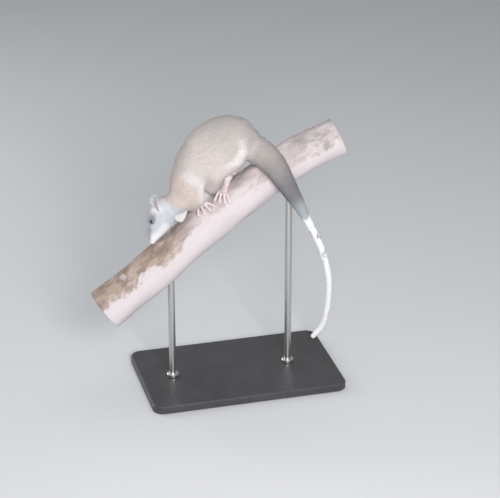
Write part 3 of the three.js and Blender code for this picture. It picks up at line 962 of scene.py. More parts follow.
@dataclass
class Skin:
    """The one skin under the coat, with what the coat and the finishes read from it."""

    anatomy: Anatomy
    face: FaceForm = field(default_factory=FaceForm)
    voxel: float = 0.85
    most_faces: int = 190000
    settle_rounds: int = 14
    crease_rounds: int = 44
    head_rounds: int = 6
    lie_rounds: int = 24
    normal_rounds: int = 150
    pull: float = 0.5
    front_end: float = 0.42
    back_of_face: float = -4.0
    lid_clear: tuple[float, float] = (0.5, 1.4)
    nose_clear: float = 3.0

    def build(self) -> Piece:
        """Makes the skin.

        Returns:
            The skin's object, with the attributes tint, lie, growth sizes and bare.
        """
        merged = self._merge()
        self._form_head(merged)
        skin = self._thin(merged)
        self._store_fields(skin)
        soften(skin.data)
        return skin

    def _shells(self) -> list[MeshData]:
        """Every form of the flesh, sunk by the depth of its coat."""
        shells = []
        for part in self.anatomy.parts:
            depth = part.growth
            shells.append(part.sweep.mesh(part.sides, part.steps, 8, lambda t, g=depth: -g.read("depth", t)))
        for foot in self.anatomy.feet:
            shells.append(foot.pad().mesh(32, 24, 6))
            shells += [foot.toe(digit).mesh(20, 24, 5) for digit in foot.digits()]
        head = self.anatomy.head
        turn, rise = np.meshgrid(full_circle(40), np.linspace(0.06, math.pi - 0.06, 24))
        around = np.stack([np.cos(rise), np.sin(rise) * np.cos(turn), np.sin(rise) * np.sin(turn)], axis=-1)
        nose = around * np.array(self.face.nose_pad) + np.array([self.face.nose_tip - 1.8, 0.0, 0.0])
        shells.append(ring_mesh(head.place_rings(nose)[:, ::-1]))
        for side in SIDES:
            lid = self.face.lid(side)
            shells.append(MeshData(head.place(lid.places), lid.faces))
        return shells

    def _merge(self) -> Piece:
        """All forms as one closed surface of even faces."""
        source = joined(self._shells()).object("skin_forms")
        modifier = source.modifiers.new("merge", "REMESH")
        modifier.mode = "VOXEL"
        modifier.voxel_size = self.voxel * MM
        modifier.adaptivity = 0.0
        skin = evaluated_mesh(source, "skin_merged")
        self._keep_largest(skin.data)
        places, edges = self._arrays(skin.data)
        places = relax(places, edges, self.settle_rounds, self.pull, keep=True)
        found = self.anatomy.read(places)
        soft = smooth(0.7, 1.6, found["depth"])
        places = relax(places, edges, self.crease_rounds, self.pull * soft)
        self._write(skin.data, places)
        return skin

    @staticmethod
    def _keep_largest(mesh: Mesh) -> None:
        """Drops every loose scrap but the largest surface."""
        with editing(mesh) as work:
            seen = np.zeros(len(work.verts), bool)
            best: list[int] = []
            for start in range(len(work.verts)):
                if seen[start]:
                    continue
                seen[start] = True
                island, edge_of = [start], [work.verts[start]]
                while edge_of:
                    for edge in edge_of.pop().link_edges:
                        fresh = [vertex for vertex in edge.verts if not seen[vertex.index]]
                        for vertex in fresh:
                            seen[vertex.index] = True
                            island.append(vertex.index)
                        edge_of += fresh
                best = max(best, island, key=len)
            kept = np.zeros(len(work.verts), bool)
            kept[best] = True
            bmesh.ops.delete(work, geom=[v for v in work.verts if not kept[v.index]], context="VERTS")

    @staticmethod
    def _arrays(mesh: Mesh) -> tuple[Array, Array]:
        """The vertices in the branch's frame, and the edges."""
        edges = np.zeros(len(mesh.edges) * 2, np.int32)
        mesh.edges.foreach_get("vertices", edges)
        return read_vectors(mesh.vertices, "co") / MM - PLACE, edges.reshape(-1, 2)

    @staticmethod
    def _write(mesh: Mesh, places: Array) -> None:
        """Puts vertices of the branch's frame back into the mesh."""
        mesh.vertices.foreach_set("co", to_row(places).astype(np.float32).ravel())
        mesh.update()

    def _form_head(self, skin: Piece) -> None:
        """Gives the head's front finer faces, and cuts the mouth, nostrils and nose groove into it."""
        head, box = self.anatomy.head, np.array(self.face.box)
        local = head.local(self._arrays(skin.data)[0])
        ahead = (local[:, 0] > self.back_of_face) & (local[:, 0] < box[0])
        inside = ahead & (np.abs(local[:, 1:]) < box[1:]).all(axis=1)
        with editing(skin.data) as work:
            edges = [edge for edge in work.edges if all(inside[v.index] for v in edge.verts)]
            bmesh.ops.subdivide_edges(work, edges=edges, cuts=1, use_grid_fill=True)
        places, pairs = self._arrays(skin.data)
        near = (np.abs(head.local(places)) < box).all(axis=1)
        places = relax(places, pairs, self.head_rounds, self.pull * near, keep=True)
        self._write(skin.data, places)
        normal = read_vectors(skin.data.vertices, "normal")
        self._write(skin.data, places - normal * self._cuts(head.local(places), near)[:, None])

    def _cuts(self, local: Array, near: Array) -> Array:
        """How deep the mouth with its lips, the nostrils and the nose groove sink each place."""
        face, skull = self.face, Sweep(SKULL)
        sink = np.zeros(len(local))
        for side in SIDES:
            line = Spline(face.mouth(skull, side)).at(np.linspace(0, 1, 60))
            line = np.vstack([line, line[-1] + np.array(face.mouth_drop)])
            gap = self._distance(local, line, near)
            deep, offset, wide = face.lip
            sink += dent(gap, *face.mouth_cut) - dent(gap - offset, deep, wide)
            nostril = np.array([face.nose_tip + 0.3, side * face.nostril_out, 0.3])
            gap = np.linalg.norm((local - nostril) * np.array([1.0, 1.0, 1.25]), axis=1)
            sink += dent(gap, *face.nostril_cut)
            slit = np.array([face.nose_tip - 1.6, side * (face.nostril_out + 1.5), 0.0])
            gap = np.linalg.norm((local - slit) * np.array([0.7, 1.0, 1.8]), axis=1)
            sink += dent(gap, *face.slit_cut)
        groove = np.abs(local[:, 1]) + 3.0 * np.maximum(local[:, 2] - 1.0, 0.0)
        groove = groove + 3.0 * np.maximum(face.nose_tip - 3.5 - local[:, 0], 0.0)
        return sink + dent(groove, *face.groove_cut) * near

    @staticmethod
    def _distance(points: Array, line: Array, near: Array) -> Array:
        """How far each chosen point lies from a line of close points, and a long way for the rest."""
        gap = np.full(len(points), 99.0)
        chosen = np.flatnonzero(near)
        square = ((points[chosen, None] - line[None]) ** 2).sum(axis=2)
        gap[chosen] = np.sqrt(square.min(axis=1))
        return gap

    def _thin(self, skin: Piece) -> Piece:
        """Fewer faces where the form is plain, and all of them on the head and feet."""
        places, _ = self._arrays(skin.data)
        found = self.anatomy.read(places)
        group = skin.vertex_groups.new(name="plain")
        plain = smooth(0.6, 1.4, found["depth"])
        for level in range(1, 11):
            chosen = np.flatnonzero(np.round(plain * 10) == level)
            group.add(chosen.tolist(), level / 10, "REPLACE")
        triangles = sum(len(p.vertices) - 2 for p in skin.data.polygons)
        modifier = skin.modifiers.new("thin", "DECIMATE")
        modifier.ratio = min(1.0, self.most_faces / triangles)
        modifier.vertex_group = group.name
        modifier.vertex_group_factor = 1.0
        made = evaluated_mesh(skin, "skin")
        made.vertex_groups.clear()
        return made

    def _store_fields(self, skin: Piece) -> None:
        """Gives the skin its colours, the lie of its hair and the sizes of its tufts."""
        mesh = skin.data
        places, edges = self._arrays(mesh)
        normal = read_vectors(mesh.vertices, "normal")
        found = self.anatomy.read(places)
        lie = found["along"] - found["comb"][:, None] * found["up"]
        lie = unit(relax(lie, edges, self.lie_rounds, self.pull))
        lie = unit(lie - (lie * normal).sum(1)[:, None] * normal)
        dense = found["dense"] * self._growing(places)
        soft = relax(normal, edges, self.normal_rounds, self.pull * smooth(0.4, 1.2, found["depth"]))
        store(mesh, "root_normal", unit(soft), "FLOAT_VECTOR")
        store(mesh, "lie", lie, "FLOAT_VECTOR")
        store(mesh, "long", found["long"] * MM)
        store(mesh, "wide", found["wide"] * MM)
        store(mesh, "dense", dense)
        store(mesh, "bare", 1.0 - smooth(0.05, 0.5, dense))
        tint = Markings(self.anatomy).colour(places, found)
        store(mesh, "tint", np.column_stack([tint, np.ones(len(tint))]), "FLOAT_COLOR")
        self._store_roots(mesh)

    def _growing(self, places: Array) -> Array:
        """Where hair grows: not on the nose, the lips' edge, the lids or inside the mouth."""
        local = self.anatomy.head.local(places)
        near, far = (self.face.eye_radius + gap for gap in self.lid_clear)
        share = smooth(0.0, 1.5, self.face.nose_tip - self.nose_clear - local[:, 0])
        for side in SIDES:
            gap = np.linalg.norm(local - self.face.eye(side), axis=1)
            share = share * smooth(near, far, gap)
        return share

    def _store_roots(self, mesh: Mesh) -> None:
        """Gives each face its region, and its place on an unwrap of the body's own forms."""
        points = read_vectors(mesh.polygons, "center") / MM - PLACE
        found = self.anatomy.read(points)
        source, share = found["source"], found["share"]
        turn = self.anatomy.angle(points, source, share)
        region = np.array([int(item[2]) for item in self.anatomy.sources])[source]
        front = self.anatomy.within(source, "trunk") & (share < self.front_end)
        region[front] = int(Region.TRUNK_FRONT)
        column = np.zeros(len(source))
        width = np.ones(len(source))
        for value in np.unique(region):
            inside = region == value
            members = np.unique(source[inside])
            column[inside] = np.searchsorted(members, source[inside])
            width[inside] = 1.0 / len(members)
        across = (column + 0.03 + 0.94 * share) * width
        root = np.column_stack([0.01 + 0.98 * across, 0.01 + 0.98 * turn, np.zeros(len(turn))])
        store(mesh, "region", region, "INT", "FACE")
        store(mesh, "root_place", root, "FLOAT_VECTOR", "FACE")


class Markings:
    """The colours of the animal, read by the skin and its coat alike, with painted shade on the back and in
    creases and painted light on the heel and the head's sides.
    """

    BODY = (
        Marking(Tone.HIP, (-30, -10, 185), (4, -8, 170), 22, 22, 0.8),
        Marking(Tone.NAPE, (-112, -12, 112), (-94, -27, 98), 13, 10, 0.95),
        Marking(Tone.SHOULDER, (-98, -25, 131), (-88, -31, 126), 1, 13, 0.9),
        Marking(Tone.SHOULDER, (-81, -30, 119), (-79, -26, 94), 2.5, 7, 0.95),
        Marking(Tone.SHOULDER, (-71, -20, 103), (-76, -24, 98), 2, 4, 0.9),
        Marking(Tone.FACE, (-128, -8, 78), (-104, -12, 71), 8, 7, 1.0),
        # Painted shade in the crease at the knee and in the slit between thigh and shank.
        Marking(Tone.CREASE, (-66, -33, 124), (-61, -24, 110), 2, 16, 0.7),
        Marking(Tone.CREASE, (-42, -19, 121), (-52, -25, 116), 1.2, 2.5, 0.9),
        Marking(Tone.GROIN, (-22, -28, 180), (-22, -31, 168), 0, 9, 0.6),
        Marking(Tone.GROIN, (-20, -31, 166), (-26, -32, 156), 3, 10, 1.0),
        Marking(Tone.GROIN, (-30, -33, 154), (-38, -33, 150), 1, 8, 0.6),
        # Painted highlight on the heel's pale pink skin, laid over the shade there.
        Marking(Tone.HEEL, (-30, -8, 124), (-42, -14, 114), 6, 4, 1.0),
    )
    BOTH_CHEEKS = (
        Marking(Tone.MASK, (0.0, 20.0, 7.0), (8.0, 19.0, 6.0), 2.5, 5.0, 0.9),
        Marking(Tone.MASK, (12.0, 17.5, 4.0), (25.0, 11.0, 1.0), 1.0, 5.0, 0.4),
        # Painted light: a pale patch on the head's side round the ear's base, brightening the shade there.
        Marking(Tone.MUZZLE, (-11.0, 15.0, 10.0), (-3.0, 15.0, 4.0), 4.0, 7.0, 0.85),
        # Pale jaw, brightened as painted light where the head's side turns away from the lamps.
        Marking(Tone.CHIN, (2.0, 17.0, -5.0), (28.0, 7.0, -4.0), 4.0, 5.0, 0.85),
    )
    BLAZE = Marking(Tone.MUZZLE, (15.0, 2.5, 12.0), (35.0, 0.5, 4.0), 3.5, 7.5, 0.95)
    TAIL_BANDS = ((Tone.TAIL_FUR, 0.0, 0.2), (Tone.TAIL_DUSK, 0.12, 0.33), (Tone.TAIL_SLATE, 0.36, 0.46))

    def __init__(self, anatomy: Anatomy) -> None:
        """Keeps the body that the colours lie on."""
        self.anatomy = anatomy

    def colour(self, places: Array, found: dict[str, Array]) -> Array:
        """The reflected colour at each place.

        Args:
            places: points in the branch's frame.
            found: what the anatomy reads there.

        Returns:
            One colour for each place.
        """
        source, share = found["source"], found["share"]
        tint = np.tile(Tone.FLANK.linear(), (len(places), 1))

        def lay(tone: Tone, cover: Array) -> None:
            """Lays one tone over the colours so far."""
            tint[:] += cover[:, None] * (tone.linear() - tint)

        within = self.anatomy.within
        # Painted shade: the upper side of the back, neck and tail is laid darker, as where light grazes the
        # fur.
        ridge = (unit(places - self._core(places)) * found["up"]).sum(1)
        spine = within(source, "trunk", "neck", "tail") * smooth(-90.0, -50.0, places[:, 0])
        lay(Tone.BACK, smooth(0.2, 0.9, ridge) * 0.6 * spine)
        for patch in self.BODY:
            lay(patch.tone, patch.cover(places))
        self._tail(lay, places, within(source, "tail"), share)
        self._face(lay, places, within(source, "skull", "jaw"))
        lay(Tone.SKIN_PINK, (source >= len(self.anatomy.parts)).astype(float))
        lay(Tone.SKIN_PINK, within(source, "shank", "foreleg") * smooth(0.75, 1.0, share) * 0.8)
        grain = 1.0 + 0.05 * layered_noise(places, 14.0, 3, 2.0)
        return np.clip(tint * grain[:, None], 0.0, 1.0)

    def _core(self, places: Array) -> Array:
        """The trunk's centre line nearest to each place."""
        line = self.anatomy.parts[0].sweep.path.at(np.linspace(0, 1, 24))
        square = ((places[:, None] - line[None]) ** 2).sum(axis=2)
        return line[square.argmin(axis=1)]

    def _tail(self, lay: Callable[[Tone, Array], None], places: Array, tail: Array, share: Array) -> None:
        """The furred tail, and its bare white end with a few dark spots where it begins."""
        for tone, start, end in self.TAIL_BANDS:
            lay(tone, tail * smooth(start, end, share))
        ragged = share + 0.02 * hash_noise(places, 5.0, 5.0)
        lay(Tone.TAIL_WHITE, tail * smooth(0.52, 0.545, ragged))
        spots = smooth(0.3, 0.6, hash_noise(places, 3.6, 9.0))
        fade = smooth(0.555, 0.6, share) * (1.0 - smooth(0.62, 0.76, share))
        lay(Tone.TAIL_SPOT, tail * spots * fade * 0.7)

    def _face(self, lay: Callable[[Tone, Array], None], places: Array, head: Array) -> None:
        """The pale grey head with its dark eye patches and bright muzzle, and painted light on the jaw's
        sides and round the ears' bases.
        """
        local = self.anatomy.head.local(places)
        on_head = head.astype(float) * smooth(-15.0, -3.0, local[:, 0])
        lay(Tone.FACE, on_head)
        folded = np.column_stack([local[:, 0], np.abs(local[:, 1]), local[:, 2]])
        for patch in self.BOTH_CHEEKS:
            lay(patch.tone, on_head * patch.cover(folded))
        lay(self.BLAZE.tone, on_head * self.BLAZE.cover(local))
        lay(Tone.NOSE, on_head * smooth(35.0, 36.8, local[:, 0]))
        gaps = [np.linalg.norm(local - FaceForm().eye(side), axis=1) for side in SIDES]
        lay(Tone.MASK, (1.0 - smooth(3.9, 5.6, np.min(gaps, axis=0))) * on_head)


class NodeTree:
    """A node tree, with short calls to add, fill and join its nodes."""

    tree: bpy.types.NodeTree

    def join(self, source: Socket, target: Socket) -> None:
        """Joins an output to an input."""
        self.tree.links.new(source, target)

    def fill(self, socket: Socket, value: object) -> None:
        """Sets an input from another socket or a plain value, or leaves it for None."""
        if isinstance(value, Socket):
            self.join(value, socket)
        elif value is not None:
            socket.default_value = value

    def add(self, kind: str, **settings: object) -> Node:
        """A node with its properties and inputs set by name, where an underscore stands for a space."""
        node = self.tree.nodes.new(kind)
        for key, value in settings.items():
            name = key.replace("_", " ")
            if name in node.inputs:
                self.fill(node.inputs[name], value)
            else:
                setattr(node, key, value)
        return node

    def math(self, operation: str, a: Value, b: Value = None) -> Socket:
        """One or two values or sockets put through an operation."""
        node = self.add("ShaderNodeMath", operation=operation)
        for socket, value in zip(node.inputs, (a, b)):
            self.fill(socket, value)
        return node.outputs["Value"]

    def times(self, vector: Value, factor: Value) -> Socket:
        """A vector or colour scaled by a factor."""
        node = self.add("ShaderNodeVectorMath", operation="SCALE", Vector=vector, Scale=factor)
        return node.outputs["Vector"]


class Shader(NodeTree):
    """A material's nodes."""

    def __init__(self, name: str, roughness: float = 0.8, **plain: object) -> None:
        """Starts a material, with plain values for inputs of its surface shader."""
        self.material = bpy.data.materials.new(name)
        self.material.use_nodes = True
        self.tree = self.material.node_tree
        self.surface = self.tree.nodes["Principled BSDF"]
        for key, value in ({"Roughness": roughness} | plain).items():
            self.surface.inputs[key.replace("_", " ")].default_value = value

    def attribute(self, name: str, output: str = "Fac") -> Socket:
        """An attribute of the mesh."""
        return self.add("ShaderNodeAttribute", attribute_name=name).outputs[output]

    def place(self) -> Socket:
        """The place on the object."""
        return self.add("ShaderNodeTexCoord").outputs["Object"]

    def stretched(self, at: Socket, scale: Point) -> Socket:
        """A place scaled along each axis."""
        return self.add("ShaderNodeMapping", Vector=at, Scale=scale).outputs["Vector"]

    def noise(
        self, scale: float, detail: float = 3.0, rough: float = 0.6, at: Socket | None = None
    ) -> Socket:
        """Soft noise from 0 to 1."""
        node = self.add("ShaderNodeTexNoise", Scale=scale, Detail=detail, Roughness=rough)
        self.join(self.place() if at is None else at, node.inputs["Vector"])
        return node.outputs["Fac"]

    def spread(
        self, value: Socket, low: float, high: float, to_low: float = 0.0, to_high: float = 1.0
    ) -> Socket:
        """A value stretched from one range to another, held at its ends."""
        ranges = {"From_Min": low, "From_Max": high, "To_Min": to_low, "To_Max": to_high}
        return self.add("ShaderNodeMapRange", Value=value, **ranges).outputs["Result"]

    def blend(self, share: Value, low: Value, high: Value, mode: str = "MIX") -> Socket:
        """Two colours, as sockets or plain values, mixed by a share."""
        node = self.add("ShaderNodeMix", data_type="RGBA", blend_type=mode)
        low, high = (c if isinstance(c, Socket) else (*c, 1.0) for c in (low, high))
        for index, value in ((0, share), (6, low), (7, high)):
            self.fill(node.inputs[index], value)
        return node.outputs[2]

    def bump(self, height: Socket, depth: float, strength: float = 1.0) -> None:
        """A fine relief, added under any relief that is there already."""
        node = self.add("ShaderNodeBump", Strength=strength, Distance=depth, Height=height)
        normal = self.surface.inputs["Normal"]
        if normal.links:
            self.join(normal.links[0].from_socket, node.inputs["Normal"])
        self.join(node.outputs["Normal"], normal)

    def colour(self, value: Socket) -> None:
        """Sets what colours the surface."""
        self.join(value, self.surface.inputs["Base Color"])


@dataclass(frozen=True)
class FurFinish:
    """Soft woolly hair, darker at its roots, with each tuft a little lighter or darker."""

    root: float = 0.93
    tip: float = 1.02
    vary: float = 0.05
    roughness: float = 0.95
    sheen: float = 0.08

    def material(self) -> Material:
        """The finish as a material."""
        shader = Shader(
            "woolly_fur", self.roughness,
            Sheen_Weight=self.sheen, Sheen_Roughness=0.6, Specular_IOR_Level=0.25,
        )
        depth = shader.spread(shader.attribute("along"), 0.0, 0.6, self.root, self.tip)
        tuft = shader.spread(shader.attribute("shade"), 0.0, 1.0, 1.0 - self.vary, 1.0 + self.vary)
        cloud = shader.spread(shader.noise(90.0), 0.3, 0.7, 0.97, 1.03)
        factor = shader.math("MULTIPLY", shader.math("MULTIPLY", depth, tuft), cloud)
        shader.colour(shader.times(shader.attribute("tint", "Color"), factor))
        shader.bump(shader.noise(1500.0, 2.0), 0.0001, 0.3)
        return shader.material


@dataclass(frozen=True)
class SkinFinish:
    """The skin: underfur where the coat grows, and fine creased skin where it is bare."""

    underfur: float = 0.97
    furred_roughness: float = 0.92
    bare_roughness: float = 0.52
    flush: Point = (0.72, 0.42, 0.38)
    scatter: Point = (0.003, 0.0012, 0.0008)

    def material(self) -> Material:
        """The finish as a material."""
        shader = Shader("skin_and_underfur", Subsurface_Weight=0.06, Subsurface_Radius=self.scatter)
        bare = shader.attribute("bare")
        tint = shader.attribute("tint", "Color")
        strands = shader.noise(620.0, 4.0, 0.7)
        fur = shader.math("MULTIPLY", shader.spread(strands, 0.3, 0.7, 0.93, 1.04), self.underfur)
        skin = shader.spread(shader.noise(260.0, 4.0, 0.65), 0.25, 0.75, 0.88, 1.06)
        factor = shader.add("ShaderNodeMix", data_type="FLOAT")
        for index, socket in ((0, bare), (2, fur), (3, skin)):
            shader.join(socket, factor.inputs[index])
        coloured = shader.times(tint, factor.outputs[0])
        flush = shader.spread(shader.noise(55.0, 2.0), 0.45, 0.75, 0.0, 0.16)
        flush = shader.math("MULTIPLY", flush, bare)
        shader.colour(shader.blend(flush, coloured, self.flush, "MULTIPLY"))
        roughness = shader.spread(bare, 0.0, 1.0, self.furred_roughness, self.bare_roughness)
        shader.join(roughness, shader.surface.inputs["Roughness"])
        place = shader.place()
        cells = shader.add("ShaderNodeTexVoronoi", feature="DISTANCE_TO_EDGE", Scale=900.0, Vector=place)
        creases = shader.math("MULTIPLY", shader.spread(cells.outputs["Distance"], 0.0, 0.12), bare)
        shader.bump(creases, 0.00018, 0.6)
        shader.bump(shader.math("MULTIPLY", strands, shader.math("SUBTRACT", 1.0, bare)), 0.0012, 0.7)
        return shader.material


@dataclass(frozen=True)
class EarFinish:
    """Thin bare ear skin, pink and cream with darker flecks and fine veins toward the rim, its inside
    painted a darker bluish shade.
    """

    inside_shade: Point = (0.4, 0.42, 0.49)
    outer: Point = (0.7, 0.67, 0.665)
    rim: Point = (0.52, 0.49, 0.5)
    scatter: Point = (0.004, 0.0015, 0.001)

    def material(self) -> Material:
        """The finish as a material."""
        shader = Shader("ear_skin", 0.5, Subsurface_Weight=0.25, Subsurface_Radius=self.scatter)
        cloud = shader.spread(shader.noise(70.0, 3.0), 0.2, 0.6, 0.6)
        inside = shader.math("MULTIPLY", shader.attribute("inside"), cloud)
        # Painted shade: the inside of the ear is laid a darker, bluish grey.
        body = shader.blend(inside, self.outer, self.inside_shade)
        edge = shader.spread(shader.attribute("rim"), 0.72, 1.0, 0.0, 0.75)
        flecks = shader.spread(shader.noise(420.0, 3.0), 0.5, 0.62, 0.0, 0.2)
        shader.colour(shader.blend(shader.math("MAXIMUM", edge, flecks), body, self.rim))
        shader.bump(shader.noise(650.0, 4.0), 0.0002, 0.5)
        return shader.material


@dataclass(frozen=True)
class EyeFinish:
    """A dark brown eye with a wide pupil under a wet clear surface."""

    pupil: Point = (0.004, 0.003, 0.003)
    iris: Point = (0.02, 0.011, 0.007)

    def material(self) -> Material:
        """The finish as a material."""
        shader = Shader("wet_dark_eye", 0.06, Coat_Weight=1.0, Coat_Roughness=0.02)
        streaks = shader.spread(shader.noise(900.0, 3.0), 0.3, 0.7, -0.05, 0.05)
        ring = shader.spread(shader.math("ADD", shader.attribute("gaze"), streaks), 0.42, 0.62)
        shader.colour(shader.blend(ring, self.pupil, self.iris))
        shader.bump(shader.noise(300.0), 0.00002, 0.2)
        return shader.material


@dataclass(frozen=True)
class HornFinish:
    """Horn-coloured claws, paler at the tip."""

    base: Point = (0.42, 0.3, 0.24)
    tip: Point = (0.75, 0.66, 0.56)

    def material(self) -> Material:
        """The finish as a material."""
        shader = Shader("claw_horn", 0.35)
        streak = shader.spread(shader.noise(900.0, 3.0), 0.35, 0.7)
        shader.colour(shader.blend(streak, self.base, self.tip))
        shader.bump(shader.noise(2000.0), 0.00005, 0.4)
        return shader.material


@dataclass(frozen=True)
class WhiskerFinish:
    """Stiff dark whiskers that fade toward their tips."""

    base: Point = (0.05, 0.04, 0.04)
    tip: Point = (0.3, 0.26, 0.24)

    def material(self) -> Material:
        """The finish as a material."""
        shader = Shader("whisker_hair", 0.4)
        shader.colour(shader.blend(shader.attribute("along"), self.base, self.tip))
        return shader.material


@dataclass(frozen=True)
class BarkFinish:
    """Smooth pinkish-white bark under a soft, mottled, tan to brown crust on the branch's upper side."""

    smooth_pale: Point = (0.5, 0.455, 0.47)
    smooth_streak: Point = (0.45, 0.4, 0.42)
    crust_pale: Point = (0.53, 0.465, 0.475)
    crust_lilac: Point = (0.4, 0.34, 0.345)
    crust_tan: Point = (0.33, 0.262, 0.215)
    crust_brown: Point = (0.21, 0.155, 0.125)
    crust_far: Point = (0.265, 0.25, 0.23)
    lichen: Point = (0.53, 0.49, 0.48)
    near: tuple[float, float] = (0.14, 0.2)
    far: tuple[float, float] = (0.34, 0.41)
    fibre: Point = (0.4, 1.0, 1.0)

    def material(self) -> Material:
        """The finish as a material."""
        shader = Shader("weathered_bark", 0.88, Specular_IOR_Level=0.25)
        place = shader.attribute("grain", "Vector")
        fibre = shader.stretched(place, self.fibre)
        streaks = shader.spread(shader.noise(150.0, 5.0, 0.7, fibre), 0.5, 0.78, 0.0, 0.5)
        pale = shader.blend(streaks, self.smooth_pale, self.smooth_streak)
        along = shader.add("ShaderNodeSeparateXYZ", Vector=place).outputs["X"]
        near, far = shader.spread(along, *self.near), shader.spread(along, *self.far)
        tan = shader.blend(far, shader.blend(near, self.crust_tan, self.crust_pale), self.crust_far)
        brown = shader.blend(near, self.crust_brown, self.crust_lilac)
        mottle = shader.spread(shader.noise(70.0, 5.0, 0.65, fibre), 0.42, 0.58)
        spots = shader.spread(shader.noise(55.0, 5.0, 0.68, fibre), 0.53, 0.69, 0.0, 0.65)
        crust = shader.blend(spots, shader.blend(mottle, tan, brown), self.lichen)
        grit = shader.spread(shader.noise(900.0, 3.0, 0.6), 0.3, 0.7, 0.94, 1.05)
        cover = shader.attribute("crust")
        shader.colour(shader.times(shader.blend(cover, pale, crust), grit))
        shader.bump(shader.noise(420.0, 5.0, 0.7, fibre), 0.0004, 0.5)
        shader.bump(shader.math("MULTIPLY", mottle, cover), 0.0005, 0.5)
        return shader.material


@dataclass(frozen=True)
class CutWoodFinish:
    """Sawn end grain with rings round a small pith."""

    light: Point = (0.62, 0.5, 0.38)
    dark: Point = (0.42, 0.31, 0.21)
    bark: Point = (0.2, 0.15, 0.12)
    rings: float = 95.0

    def material(self) -> Material:
        """The finish as a material."""
        shader = Shader("cut_wood", 0.75)
        distance = shader.attribute("ring")
        wobble = shader.spread(shader.noise(45.0, 3.0), 0.0, 1.0, -0.05, 0.05)
        wave = shader.math("SINE", shader.math("MULTIPLY", shader.math("ADD", distance, wobble), self.rings))
        body = shader.blend(shader.spread(wave, -0.4, 1.0, 0.0, 0.75), self.light, self.dark)
        shader.colour(shader.blend(shader.spread(distance, 0.9, 0.94), body, self.bark))
        shader.bump(shader.noise(700.0, 3.0), 0.0003, 0.5)
        return shader.material


@dataclass(frozen=True)
class BoardFinish:
    """The stand's board in plain dark satin."""

    base: Point = (0.032, 0.032, 0.035)
    worn: Point = (0.044, 0.044, 0.047)

    def material(self) -> Material:
        """The finish as a material."""
        shader = Shader("stand_board_satin", 0.42)
        mottle = shader.spread(shader.noise(30.0, 4.0), 0.3, 0.7)
        shader.colour(shader.blend(mottle, self.base, self.worn))
        satin = shader.spread(shader.noise(80.0, 3.0), 0.3, 0.7, 0.36, 0.5)
        shader.join(satin, shader.surface.inputs["Roughness"])
        shader.bump(shader.noise(1500.0, 2.0), 0.00004, 0.5)
        return shader.material


@dataclass(frozen=True)
class SteelFinish:
    """Brushed steel rods."""

    base: Point = (0.5, 0.5, 0.5)
    worn: Point = (0.62, 0.62, 0.61)
    brushing: Point = (1.0, 1.0, 0.02)

    def material(self) -> Material:
        """The finish as a material."""
        shader = Shader("brushed_steel_rod", 0.34, Metallic=1.0)
        brushed = shader.noise(2500.0, 2.0, 0.6, shader.stretched(shader.place(), self.brushing))
        shader.colour(shader.blend(shader.spread(brushed, 0.3, 0.7), self.base, self.worn))
        shader.bump(brushed, 0.00003, 0.5)
        return shader.material


class Graph(NodeTree):
    """A Geometry Nodes tree with named inputs."""

    def __init__(self, name: str) -> None:
        """Starts an empty tree that takes and gives a geometry."""
        self.tree = bpy.data.node_groups.new(name, "GeometryNodeTree")
        for way in ("INPUT", "OUTPUT"):
            self.tree.interface.new_socket("Geometry", in_out=way, socket_type="NodeSocketGeometry")
        self.start = self.tree.nodes.new("NodeGroupInput")
        self.end = self.tree.nodes.new("NodeGroupOutput")

    def input(self, name: str, kind: str) -> Socket:
        """A named input of the tree."""
        self.tree.interface.new_socket(name, in_out="INPUT", socket_type=f"NodeSocket{kind}")
        return self.start.outputs[name]

    def named(self, name: str, kind: str) -> Socket:
        """A named attribute."""
        return self.add("GeometryNodeInputNamedAttribute", data_type=kind, Name=name).outputs["Attribute"]

    def total(self, a: Value, b: Value) -> Socket:
        """The sum of two vectors."""
        node = self.add("ShaderNodeVectorMath", operation="ADD")
        for socket, value in zip(node.inputs, (a, b)):
            self.fill(socket, value)
        return node.outputs["Vector"]

    def random(self, low: float, high: float, seed: Socket) -> Socket:
        """A random value for each point, fixed by the seed."""
        node = self.add("FunctionNodeRandomValue", data_type="FLOAT", Seed=seed)
        for index, value in ((2, low), (3, high)):
            node.inputs[index].default_value = value
        return node.outputs[1]

    def identifiers(self) -> dict[str, str]:
        """Each input's identifier by its name."""
        items = self.tree.interface.items_tree
        return {item.name: item.identifier for item in items if item.in_out == "INPUT"}


